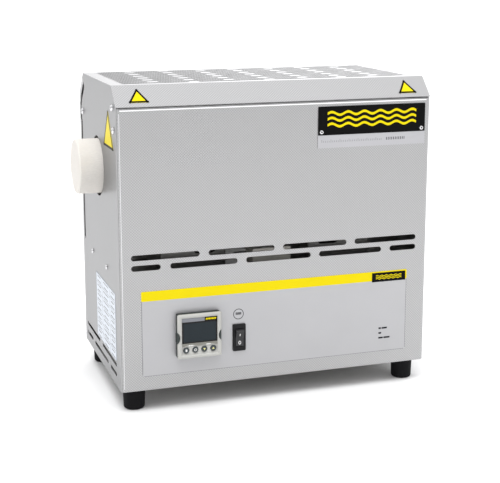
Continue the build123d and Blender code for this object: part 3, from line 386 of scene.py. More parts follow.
@dataclass(frozen=True)
class BareMetal(Finish):
    """Turned, pressed or drawn metal, plated or bare."""

    rough: float = 0.25
    wear: float = 0.15

    def make(self) -> bpy.types.Material:
        """Build the material.

        Returns:
            A metal with fine marks and slightly uneven gloss.
        """
        nodes = Nodes(self.name)
        marks = nodes.noise(nodes.place(), 900.0, 4.0, 0.6)
        patch = nodes.noise(nodes.place(), 70.0, 2.0)
        return nodes.finish(
            Base_Color=nodes.mix(patch, shaded(self.colour, 1.0 - self.wear), self.colour),
            Metallic=1.0,
            Roughness=nodes.ramp(marks, 0.25, 0.75, self.rough - 0.06, self.rough + 0.1),
            Normal=nodes.relief(marks, 0.01 * MM),
        )


@dataclass(frozen=True)
class Plastic(Finish):
    """Moulded plastic or rubber with a fine eroded grain."""

    rough: float = 0.5
    grain: float = 0.02 * MM
    gloss: float = 0.22

    def make(self) -> bpy.types.Material:
        """Build the material.

        Returns:
            A plastic whose grain and gloss vary a little.
        """
        nodes = Nodes(self.name)
        pits = nodes.noise(nodes.place(), 2600.0, 3.0, 0.6)
        cloud = nodes.noise(nodes.place(), 45.0, 2.0)
        return nodes.finish(
            Base_Color=nodes.mix(cloud, shaded(self.colour, 0.9), shaded(self.colour, 1.08)),
            Roughness=nodes.ramp(pits, 0.3, 0.7, self.rough - 0.06, self.rough + 0.08),
            Specular_IOR_Level=self.gloss,
            Normal=nodes.relief(pits, self.grain),
        )


@dataclass(frozen=True)
class Print(Finish):
    """Ink, enamel or printed foil: a smooth film over what is beneath it."""

    rough: float = 0.35
    metallic: float = 0.0
    gloss: float = 0.35

    def make(self) -> bpy.types.Material:
        """Build the material.

        Returns:
            A film with the faint orange peel of a screen print.
        """
        nodes = Nodes(self.name)
        peel = nodes.noise(nodes.place(), 1200.0, 2.0)
        cloud = nodes.noise(nodes.place(), 25.0, 2.0)
        return nodes.finish(
            Base_Color=nodes.mix(cloud, shaded(self.colour, 0.96), shaded(self.colour, 1.03)),
            Metallic=self.metallic,
            Roughness=nodes.ramp(peel, 0.3, 0.7, self.rough - 0.04, self.rough + 0.05),
            Specular_IOR_Level=self.gloss,
            Normal=nodes.relief(peel, 0.004 * MM),
        )


@dataclass(frozen=True)
class Fibre(Finish):
    """Vacuum-formed ceramic fibre: matt, felted and a little stained."""

    pore: float = 0.12 * MM

    def make(self) -> bpy.types.Material:
        """Build the material.

        Returns:
            A matt fibrous white with faint warm patches.
        """
        nodes = Nodes(self.name)
        strands = nodes.noise(nodes.place((260.0, 1500.0, 900.0), (0.3, 0.5, 0.2)), 1.0, 5.0, 0.7)
        pits = nodes.cells(nodes.place(), 620.0, edges=True)
        stain = nodes.noise(nodes.place(), 38.0, 4.0, 0.6)
        warm = shaded((1.0, 0.93, 0.84), self.colour[0] * 0.93)
        base = nodes.mix(nodes.ramp(stain, 0.42, 0.75), self.colour, warm)
        tone = nodes.mix(nodes.ramp(strands, 0.35, 0.7), shaded(self.colour, 0.9), base)
        height = nodes.maths("ADD", strands, nodes.maths("MULTIPLY", nodes.ramp(pits, 0.0, 0.25), 0.35))
        return nodes.finish(
            Base_Color=tone,
            Roughness=0.93,
            Normal=nodes.relief(height, self.pore),
        )


@dataclass(frozen=True)
class Ceramic(Finish):
    """Dense unglazed ceramic, as of the work tube and the heater's block."""

    def make(self) -> bpy.types.Material:
        """Build the material.

        Returns:
            A smooth cream ceramic with fine dark specks.
        """
        nodes = Nodes(self.name)
        specks = nodes.ramp(nodes.noise(nodes.place(), 1400.0, 2.0, 0.7), 0.66, 0.74)
        body = nodes.noise(nodes.place(), 120.0, 3.0)
        base = nodes.mix(body, shaded(self.colour, 0.94), shaded(self.colour, 1.03))
        return nodes.finish(
            Base_Color=nodes.mix(specks, base, shaded(self.colour, 0.6)),
            Roughness=nodes.ramp(body, 0.3, 0.7, 0.42, 0.56),
            Normal=nodes.relief(body, 0.01 * MM),
        )


@dataclass(frozen=True)
class Oxide(Finish):
    """Resistance wire with the dull scale of many firings."""

    def make(self) -> bpy.types.Material:
        """Build the material.

        Returns:
            A dark scaled metal.
        """
        nodes = Nodes(self.name)
        scale = nodes.noise(nodes.place(), 800.0, 5.0, 0.7)
        return nodes.finish(
            Base_Color=nodes.mix(scale, shaded(self.colour, 0.6), shaded(self.colour, 1.4)),
            Metallic=0.7,
            Roughness=nodes.ramp(scale, 0.3, 0.7, 0.5, 0.8),
            Normal=nodes.relief(scale, 0.05 * MM),
        )


@dataclass(frozen=True)
class DisplayGlass(Finish):
    """Dark display window: a clear gloss over a faintly ruled dark panel."""

    def make(self) -> bpy.types.Material:
        """Build the material.

        Returns:
            A dark glossy film with the fine rows of the unlit display.
        """
        nodes = Nodes(self.name)
        rows = nodes.tree.nodes.new("ShaderNodeTexWave")
        rows.bands_direction = "Z"
        rows.inputs["Scale"].default_value = 500.0
        nodes.feed(rows.inputs["Vector"], nodes.place())
        tint = nodes.noise(nodes.place(), 60.0, 2.0)
        panel = nodes.mix(tint, shaded(self.colour, 0.85), shaded(self.colour, 1.15))
        ruled = nodes.ramp(rows.outputs["Fac"], 0.2, 0.9, 0.0, 0.3)
        return nodes.finish(
            Base_Color=nodes.mix(ruled, panel, shaded(self.colour, 1.3)),
            Roughness=0.2,
            Specular_IOR_Level=0.24,
        )


@dataclass(frozen=True)
class ClearGlass(Finish):
    """Thin drawn glass, as of a fuse."""

    def make(self) -> bpy.types.Material:
        """Build the material.

        Returns:
            Clear glass with faint draw lines.
        """
        nodes = Nodes(self.name)
        lines = nodes.noise(nodes.place((900.0, 20.0, 900.0)), 1.0, 2.0)
        return nodes.finish(
            Base_Color=(*self.colour, 1.0),
            Roughness=nodes.ramp(lines, 0.3, 0.7, 0.03, 0.1),
            Transmission_Weight=0.8,
            IOR=1.5,
            Normal=nodes.relief(lines, 0.005 * MM),
        )


@dataclass(frozen=True)
class WireSleeve(Finish):
    """Insulation of a wire, plain, braided or two-coloured."""

    sleeve: Sleeve = Sleeve.PLAIN
    second: Colour = (0.8, 0.65, 0.02)
    rough: float = 0.45

    def make(self) -> bpy.types.Material:
        """Build the material.

        Returns:
            A sleeve with its braid, stripe or drawn surface.
        """
        nodes = Nodes(self.name)
        drawn = nodes.noise(nodes.place(), 500.0, 3.0)
        base: Socket = nodes.mix(drawn, shaded(self.colour, 0.85), shaded(self.colour, 1.12))
        height, depth = drawn, 0.02 * MM
        if self.sleeve is Sleeve.BRAIDED:
            height, depth = nodes.cells(nodes.place((1.0, 1.0, 0.6)), 1500.0, edges=True), 0.08 * MM
            base = nodes.mix(nodes.ramp(height, 0.0, 0.12), shaded(self.colour, 0.7), base)
        elif self.sleeve is Sleeve.STRIPED:
            stripe = nodes.noise(nodes.place((40.0, 40.0, 260.0)), 1.0, 0.0)
            base = nodes.mix(nodes.ramp(stripe, 0.49, 0.51), base, self.second)
        return nodes.finish(Base_Color=base, Roughness=self.rough, Normal=nodes.relief(height, depth))


LINEN_STEEL = SheetSteel("linen_steel", (0.435, 0.435, 0.438), Relief.LINEN, 0.34, 2.9 * MM, 0.09 * MM)
SIDE_STEEL = SheetSteel("side_steel", (0.43, 0.431, 0.434), Relief.ROLLED, 0.36, depth=0.006 * MM, edge=0.68)
# A near-white steel for the painted highlights along the front sheet's folds.
FOLD_HIGHLIGHT = SheetSteel("fold_highlight", (0.93, 0.93, 0.94), Relief.ROLLED, 0.3, depth=0.003 * MM)
# Colour darker than bare zinc: painted shade for the casing's inside, which shows only through the slots.
ZINC_SHEET = SheetSteel("zinc_sheet", (0.30, 0.295, 0.285), Relief.SPANGLE, 0.45, depth=0.01 * MM)
SCREW_METAL = BareMetal("screw_metal", (0.78, 0.78, 0.79), 0.2)
FOOT_RUBBER = Plastic("foot_rubber", (0.009, 0.009, 0.010), 0.62, 0.03 * MM, 0.08)
LABEL_FOIL = Print("label_foil", srgb(181, 181, 183), 0.38, 0.35)
PLATE_ALUMINIUM = Print("plate_aluminium", srgb(184, 184, 187), 0.36, 0.5)
BADGE_BLACK = Print("badge_black", (0.004, 0.004, 0.004), 0.33, gloss=0.06)
RATING_FOIL = Print("rating_foil", srgb(214, 220, 228), 0.45)
SIGNAL_YELLOW = Print("signal_yellow", (0.80, 0.65, 0.0), 0.4, gloss=0.12)
PRINT_GREY = Print("print_grey", srgb(112, 112, 116), 0.5)
PRINT_DARK = Print("print_dark", srgb(40, 40, 44), 0.5, gloss=0.15)
PRINT_WHITE = Print("print_white", srgb(232, 232, 230), 0.5)
TUBE_CERAMIC = Ceramic("tube_ceramic", (0.86, 0.83, 0.76))
PLUG_FIBRE = Fibre("plug_fibre", (0.80, 0.77, 0.725))
INNER_FIBRE = Fibre("inner_fibre", (0.82, 0.79, 0.74))
SCALED_WIRE = Oxide("scaled_wire", (0.22, 0.19, 0.17))
PROBE_STEEL = BareMetal("probe_steel", (0.5, 0.5, 0.5), 0.38)
SLEEVE_PLASTIC = Plastic("sleeve_plastic", (0.030, 0.038, 0.036), 0.45)
EAR_PLASTIC = Plastic("ear_plastic", (0.045, 0.055, 0.053), 0.42)
BLACK_PLASTIC = Plastic("black_plastic", (0.010, 0.010, 0.011), 0.38, gloss=0.18)
# A little lighter than the housing's black: painted light for the rocker's lit upper facet; its gloss is
# raised too.
ROCKER_PLASTIC = Plastic("rocker_plastic", (0.019, 0.019, 0.021), 0.32, 0.01 * MM, 0.45)
BEZEL_PLASTIC = Plastic("bezel_plastic", (0.50, 0.50, 0.475), 0.42, 0.01 * MM)
HEADER_GREY = Print("header_grey", srgb(128, 130, 136), 0.4)
BAND_GREY = Print("band_grey", srgb(134, 133, 126), 0.45)
DISPLAY = DisplayGlass("display_glass", (0.009, 0.016, 0.021))
KEY_RUBBER = Plastic("key_rubber", (0.055, 0.066, 0.07), 0.42)
KEY_CREAM = Print("key_cream", srgb(222, 218, 150), 0.5)
GASKET_RUBBER = Plastic("gasket_rubber", (0.02, 0.02, 0.02), 0.7)
NICKEL_BRASS = BareMetal("nickel_brass", (0.72, 0.66, 0.46), 0.22)
FUSE_GLASS = ClearGlass("fuse_glass", (0.88, 0.92, 0.92))
SINK_ALUMINIUM = BareMetal("sink_aluminium", (0.72, 0.72, 0.73), 0.32)
MAINS_SLEEVE = WireSleeve("mains_sleeve", (0.04, 0.05, 0.09))
HEATER_SLEEVE = WireSleeve("heater_sleeve", (0.82, 0.8, 0.74), Sleeve.BRAIDED, rough=0.85)
CONTROL_SLEEVE = WireSleeve("control_sleeve", (0.06, 0.26, 0.12))
EARTH_SLEEVE = WireSleeve("earth_sleeve", (0.03, 0.25, 0.05), Sleeve.STRIPED)

SLOT_FINISHES: dict[str, Finish] = {
    "textured_steel": LINEN_STEEL,
    "plain_steel": SIDE_STEEL,
    "galvanised_steel": ZINC_SHEET,
    "screw_steel": SCREW_METAL,
    "foot_rubber": FOOT_RUBBER,
    "label_foil": LABEL_FOIL,
    "badge_black": PLATE_ALUMINIUM,
    "rating_foil": RATING_FOIL,
    "sticker_yellow": SIGNAL_YELLOW,
    "tube_ceramic": TUBE_CERAMIC,
    "fibre": INNER_FIBRE,
    "heater_wire": SCALED_WIRE,
    "probe_steel": PROBE_STEEL,
    "dark_plastic": SLEEVE_PLASTIC,
    "black_plastic": BLACK_PLASTIC,
    "bezel_plastic": BEZEL_PLASTIC,
    "display_film": DISPLAY,
    "key_rubber": KEY_RUBBER,
    "gasket_rubber": GASKET_RUBBER,
    "blade_brass": NICKEL_BRASS,
    "fuse_glass": FUSE_GLASS,
    "sink_aluminium": SINK_ALUMINIUM,
    "mains_insulation": MAINS_SLEEVE,
    "heater_insulation": HEATER_SLEEVE,
    "control_insulation": CONTROL_SLEEVE,
    "earth_insulation": EARTH_SLEEVE,
}
NODE_FINISHES: dict[str, Finish] = {
    "left_latch_ear": EAR_PLASTIC,
    "right_latch_ear": EAR_PLASTIC,
    "rear_panel": LINEN_STEEL,
    "switch_rocker": ROCKER_PLASTIC,
}


class PaintShop:
    """Makes each finish's material once and hands it out."""

    def __init__(self) -> None:
        """Start with no materials made."""
        self.made: dict[str, bpy.types.Material] = {}

    def coat(self, piece: bpy.types.Object, finish: Finish) -> None:
        """Give a piece one finish all over.

        Args:
            piece: The object.
            finish: Its finish.
        """
        if not piece.material_slots:
            piece.data.materials.append(self.material(finish))
        for slot in piece.material_slots:
            slot.material = self.material(finish)

    def material(self, finish: Finish) -> bpy.types.Material:
        """The finish's material, made the first time that it is asked for."""
        if finish.name not in self.made:
            self.made[finish.name] = finish.make()
        return self.made[finish.name]

    def dress_packed_nodes(self, nodes: dict[str, bpy.types.Object], record: dict) -> None:
        """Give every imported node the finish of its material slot.

        Args:
            nodes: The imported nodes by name.
            record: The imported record.
        """
        for row in record["subparts"]:
            name = row["node"]
            finish = NODE_FINISHES.get(name, SLOT_FINISHES[row["material_slot"]])
            self.coat(nodes[name], finish)
            LOG.info("node %s in %s", name, finish.name)


PAINT = PaintShop()


# ---------------------------------------------------------------- shaping


@dataclass(frozen=True)
class Spot:
    """A flat place on the object: an origin, a direction across and one up."""

    origin: Vector
    across: Vector
    up: Vector

    def matrix(self) -> Matrix:
        """The matrix that carries the flat plane's own axes to this place.

        Returns:
            Columns across, up and outwards, and the origin.
        """
        out = self.across.cross(self.up)
        columns = Matrix((self.across, self.up, out)).transposed().to_4x4()
        columns.translation = self.origin
        return columns


def front_spot(x: float, y: float, z: float) -> Spot:
    """Spot on a face that looks to the front."""
    return Spot(Vector((x, y, z)), Vector((1, 0, 0)), Vector((0, 0, 1)))


def side_spot(side: int, x: float, y: float, z: float) -> Spot:
    """Spot on a face that looks along X, to the left for a side of -1."""
    return Spot(Vector((x, y, z)), Vector((0, side, 0)), Vector((0, 0, 1)))


class Shape:
    """A piece in the making, in its own plane: x across, y up and z outwards."""

    def __init__(self) -> None:
        """Start with an empty bmesh."""
        self.bm = bmesh.new()

    def _thicken(self, faces: list[bmesh.types.BMFace], thick: float, soft: float) -> None:
        """Make flat faces into a closed solid.

        Args:
            faces: The flat faces.
            thick: Thickness outwards.
            soft: Width of the rounded outer edge, or 0.
        """
        made = bmesh.ops.extrude_face_region(self.bm, geom=faces, use_keep_orig=True)["geom"]
        raised = [v for v in made if isinstance(v, bmesh.types.BMVert)]
        bmesh.ops.translate(self.bm, vec=(0, 0, thick), verts=raised)
        if soft > 0:
            top = set(raised)
            sides = [
                e for e in self.bm.edges
                if set(e.verts) <= top and abs(sum(f.normal.z for f in e.link_faces)) < 1.5
            ]
            edge_of_top = [e for e in sides if any(set(f.verts) - top for f in e.link_faces)]
            bmesh.ops.bevel(
                self.bm, geom=edge_of_top, offset=soft, offset_type="OFFSET", segments=2,
                profile=0.5, affect="EDGES", material=-1,
            )

    def card(
        self, width: float, height: float, thick: float = FILM, corner: float = 0.0,
        centre: Point2 = (0.0, 0.0), lift: float = 0.0, soft: float = 0.0, slant: float = 0.0,
    ) -> "Shape":
        """Add a flat rectangular solid.

        Args:
            width: Size across.
            height: Size up.
            thick: Thickness outwards.
            corner: Radius of its four corners.
            centre: Where its middle is.
            lift: Where its back is.
            soft: Width of its rounded front edge.
            slant: How far its top leans across.

        Returns:
            This shape.
        """
        verts = bmesh.ops.create_grid(self.bm, x_segments=1, y_segments=1, size=0.5)["verts"]
        bmesh.ops.scale(self.bm, vec=(width, height, 1), verts=verts)
        upper = [v for v in verts if v.co.y > 0]
        bmesh.ops.translate(self.bm, vec=(slant, 0, 0), verts=upper)
        bmesh.ops.translate(self.bm, vec=(*centre, lift), verts=verts)
        faces = list({f for v in verts for f in v.link_faces})
        if corner > 0:
            made = bmesh.ops.bevel(
                self.bm, geom=verts, offset=corner, offset_type="OFFSET", segments=5,
                profile=0.5, affect="VERTICES", material=-1,
            )
            faces = list({f for v in made["verts"] for f in v.link_faces})
        self._thicken(faces, thick, soft)
        return self

    def wave(
        self, length: float, breadth: float, swing: float, turns: float,
        centre: Point2 = (0.0, 0.0), thick: float = FILM, steps: int = 96,
    ) -> "Shape":
        """Add a flat wavy band.

        Args:
            length: Size across.
            breadth: Width of the band.
            swing: Height of its waves.
            turns: Number of waves.
            centre: Where its middle is.
            thick: Thickness outwards.
            steps: Number of steps along it.

        Returns:
            This shape.
        """
        verts = bmesh.ops.create_grid(self.bm, x_segments=steps, y_segments=1, size=0.5)["verts"]
        for vert in verts:
            rise = swing * math.sin(2 * math.pi * turns * (vert.co.x + 0.5))
            vert.co.y = vert.co.y * breadth + rise
            vert.co.x *= length
        bmesh.ops.translate(self.bm, vec=(*centre, 0), verts=verts)
        self._thicken(list({f for v in verts for f in v.link_faces}), thick, 0.0)
        return self

    def scalloped(self, width: float, height: float, bite: float, count: int, thick: float) -> "Shape":
        """Add a band whose lower edge has shallow scallops bitten out of it.

        Args:
            width: Size across.
            height: Size up.
            bite: Depth of a scallop.
            count: Number of scallops.
            thick: Thickness outwards.

        Returns:
            This shape.
        """
        verts = bmesh.ops.create_grid(self.bm, x_segments=64, y_segments=1, size=0.5)["verts"]
        for vert in verts:
            if vert.co.y < 0:
                phase = math.cos(2 * math.pi * count * (vert.co.x + 0.5))
                vert.co.y += bite / height * 0.5 * (1 - phase)
            vert.co.x *= width
            vert.co.y *= height
        self._thicken(list({f for v in verts for f in v.link_faces}), thick, 0.0)
        return self

    def ring(
        self, radius: float, stroke: float, thick: float = FILM,
        centre: Point2 = (0.0, 0.0), tall: float = 1.0, steps: int = 48,
    ) -> "Shape":
        """Add a flat ring, round or oval, by spinning its section.

        Args:
            radius: Outer radius across.
            stroke: Width of the ring.
            thick: Thickness outwards.
            centre: Where its middle is.
            tall: Height over width.
            steps: Steps of the spin.

        Returns:
            This shape.
        """
        corners = ((radius, 0.0), (radius, thick), (radius - stroke, thick), (radius - stroke, 0.0))
        section = [self.bm.verts.new((r, 0.0, z)) for r, z in corners]
        edges = [self.bm.edges.new((section[i - 1], section[i])) for i in range(4)]
        before = set(self.bm.verts) - set(section)
        bmesh.ops.spin(
            self.bm, geom=section + edges, cent=(0, 0, 0), axis=(0, 0, 1), angle=2 * math.pi,
            steps=steps, use_merge=True, use_duplicate=False,
        )
        made = [v for v in self.bm.verts if v not in before]
        bmesh.ops.scale(self.bm, vec=(1, tall, 1), verts=made)
        bmesh.ops.translate(self.bm, vec=(*centre, 0), verts=made)
        return self

    def disc(self, radius: float, thick: float, centre: Point2) -> "Shape":
        """Add a small solid disc with a rounded front edge.

        Args:
            radius: Its radius.
            thick: Thickness outwards.
            centre: Where its middle is.

        Returns:
            This shape.
        """
        verts = bmesh.ops.create_circle(self.bm, cap_ends=True, radius=radius, segments=24)["verts"]
        bmesh.ops.translate(self.bm, vec=(*centre, 0), verts=verts)
        self._thicken(list({f for v in verts for f in v.link_faces}), thick, 0.0)
        return self

    def outline(
        self, corners: Sequence[Point2], inside: float, stroke: float, round_off: float, thick: float = FILM,
    ) -> "Shape":
        """Add a closed border that runs inside a polygon.

        Args:
            corners: Corners of the polygon, anticlockwise.
            inside: Margin between the polygon and the border.
            stroke: Width of the border, or 0 to fill it.
            round_off: Radius of the polygon's corners.
            thick: Thickness outwards.

        Returns:
            This shape.
        """
        verts = [self.bm.verts.new((x, y, 0.0)) for x, y in corners]
        face = self.bm.faces.new(verts)
        if inside > 0:
            bmesh.ops.inset_region(
                self.bm, faces=[face], thickness=inside, use_boundary=True, use_even_offset=True,
            )
            rim = [f for v in verts for f in v.link_faces if f is not face]
            bmesh.ops.delete(self.bm, geom=list(set(rim)), context="FACES")
            loose = [v for v in verts if v.is_valid and not v.link_faces]
            bmesh.ops.delete(self.bm, geom=loose, context="VERTS")
        if round_off > 0:
            made = bmesh.ops.bevel(
                self.bm, geom=list(face.verts), offset=round_off, offset_type="OFFSET", segments=4,
                profile=0.5, affect="VERTICES", material=-1,
            )
            face = made["verts"][0].link_faces[0]
        faces = [face]
        if stroke > 0:
            faces = bmesh.ops.inset_region(
                self.bm, faces=[face], thickness=stroke, use_boundary=True, use_even_offset=True,
            )["faces"]
            bmesh.ops.delete(self.bm, geom=[face], context="FACES")
        self._thicken(list(faces), thick, 0.0)
        return self

    def turned(self, profile: Sequence[Point2], steps: int = 96) -> "Shape":
        """Add a solid of revolution about the plane's outward axis.

        Args:
            profile: Points as (radius, height) from the axis to the axis.
            steps: Steps of the spin.

        Returns:
            This shape.
        """
        line = [self.bm.verts.new((r, 0.0, z)) for r, z in profile]
        edges = [self.bm.edges.new(pair) for pair in zip(line, line[1:])]
        bmesh.ops.spin(
            self.bm, geom=line + edges, cent=(0, 0, 0), axis=(0, 0, 1), angle=2 * math.pi,
            steps=steps, use_merge=True, use_duplicate=False,
        )
        bmesh.ops.remove_doubles(self.bm, verts=self.bm.verts, dist=0.001 * MM)
        return self

    def roughen(self, depth: float, scale: float, drift: float = 0.0) -> "Shape":
        """Push each point in or out by smooth fixed noise.

        Args:
            depth: Largest push.
            scale: Lumps to the metre.
            drift: Offset that makes this piece's lumps its own.

        Returns:
            This shape.
        """
        self.bm.normal_update()
        for vert in self.bm.verts:
            value = noise.fractal(vert.co * scale + Vector((drift, 0, 0)), 0.6, 2.1, 4)
            vert.co += vert.normal * depth * value
        return self

    def done(
        self, name: str, spot: Spot, finish: Finish, body: Body, slot: str, smooth: bool = False,
    ) -> bpy.types.Object:
        """Turn the shape into a finished piece of the object.

        Args:
            name: Name of the piece.
            spot: Where its plane lies.
            finish: Its finish.
            body: The body that it rides on.
            slot: Not used.
            smooth: True to shade its gentle edges smooth.

        Returns:
            The piece.
        """
        bmesh.ops.recalc_face_normals(self.bm, faces=self.bm.faces)
        bmesh.ops.transform(self.bm, matrix=spot.matrix(), verts=self.bm.verts)
        mesh = bpy.data.meshes.new(name)
        self.bm.to_mesh(mesh)
        self.bm.free()
        if smooth:
            mesh.shade_smooth()
            mesh.set_sharp_from_angle(angle=math.radians(38))
        piece = bpy.data.objects.new(name, mesh)
        bpy.context.scene.collection.objects.link(piece)
        PAINT.coat(piece, finish)
        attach(piece, body.value)
        LOG.info("piece %s on %s, %d faces", name, body.value, len(mesh.polygons))
        return piece


def middle(node: str) -> Vector:
    """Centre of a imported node's box."""
    low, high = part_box(node)
    return (low + high) / 2


def oblong(wide: float, tall: float) -> tuple[Point2, ...]:
    """The corners of an upright rectangle about the origin, anticlockwise."""
    return ((-wide / 2, -tall / 2), (wide / 2, -tall / 2), (wide / 2, tall / 2), (-wide / 2, tall / 2))


# ---------------------------------------------------------------- sub-assemblies


@dataclass
class BadgePlate:
    """The black and silver plate on the front panel, with a generic heat mark."""

    black_share: float = 0.692
    corner: float = 0.9 * MM
    soft_edge: float = 0.03 * MM
    mark_length: float = 104 * MM
    mark_breadth: float = 2.7 * MM
    mark_swing: float = 1.6 * MM
    mark_pitch: float = 6.2 * MM
    mark_turns: float = 5.5
    mark_rise: float = 1.5 * MM
    scale_rise: float = 1.0 * MM
    scale_margin: float = 4.5 * MM
    tick_pitch: float = 2.1 * MM
    light_ticks: int = 34
    light_width: float = 0.4 * MM
    light_tall: float = 2.0 * MM
    light_drop: float = 2 * MM
    fifth_tall: float = 3.2 * MM
    dark_ticks: int = 11
    dark_width: float = 0.8 * MM
    dark_tall: float = 3.0 * MM
    dark_drop: float = 0.5 * MM
    bore_radius: float = 0.95 * MM
    bore_depth: float = 0.12 * MM
    bore_inset: float = 2.2 * MM

    def build(self) -> None:
        """Lay the enamel, the wavy mark, the ruled scale and the painted shade in the rivets' bores."""
        low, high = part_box("badge_plate")
        width, height = high.x - low.x, high.z - low.z
        centre_x = (low.x + high.x) / 2
        field_height = height * self.black_share
        field_z = high.z - field_height / 2
        enamel = Shape().card(width, field_height, 2 * FILM, self.corner, soft=self.soft_edge)
        face = front_spot(centre_x, low.y, field_z)
        enamel.done("badge_enamel", face, BADGE_BLACK, Body.CASING, "badge_black")
        mark = Shape()
        for row in (-1, 0, 1):
            place = (0, row * self.mark_pitch)
            mark.wave(self.mark_length, self.mark_breadth, self.mark_swing, self.mark_turns, place)
        over = front_spot(centre_x, low.y - 2 * FILM, field_z + self.mark_rise)
        mark.done("badge_heat_mark", over, SIGNAL_YELLOW, Body.CASING, "sticker_yellow")
        strip = front_spot(centre_x, low.y, (low.z + high.z - field_height) / 2 + self.scale_rise)
        start = -width / 2 + self.scale_margin
        self._light_ticks(strip, start)
        self._rivet_bore_shade()
        self._dark_ticks(strip, start)

    def _light_ticks(self, strip: Spot, start: float) -> None:
        """Rule the grey part of the scale, with every fifth tick taller.

        Args:
            strip: The silver strip below the enamel.
            start: Place of the first tick.
        """
        light = Shape()
        for step in range(self.light_ticks):
            tall = self.fifth_tall if step % 5 == 0 else self.light_tall
            place = (start + step * self.tick_pitch, tall / 2 - self.light_drop)
            light.card(self.light_width, tall, FILM / 2, centre=place)
        light.done("badge_scale_light", strip, PRINT_GREY, Body.CASING, "badge_black")

    def _dark_ticks(self, strip: Spot, start: float) -> None:
        """Rule the dark part of the scale, after the grey one.

        Args:
            strip: The silver strip below the enamel.
            start: Place of the first tick of the grey part.
        """
        dark = Shape()
        for step in range(self.dark_ticks):
            place = start + (self.light_ticks + 2 + step) * self.tick_pitch
            dark.card(self.dark_width, self.dark_tall, FILM / 2, centre=(place, -self.dark_drop))
        dark.done("badge_scale_dark", strip, PRINT_DARK, Body.CASING, "badge_black")

    def _rivet_bore_shade(self) -> None:
        """Lay a black disc in the bore of each of the two outer rivets, as painted shade of the hollow."""
        low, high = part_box("badge_rivets")
        bore_shade = Shape()
        for side in (-1, 1):
            place = (side * ((high.x - low.x) / 2 - self.bore_inset), 0)
            bore_shade.disc(self.bore_radius, self.bore_depth, place)
        rivets = front_spot((low.x + high.x) / 2, low.y, (low.z + high.z) / 2)
        bore_shade.done("rivet_bore_shade", rivets, BLACK_PLASTIC, Body.CASING, "badge_black")


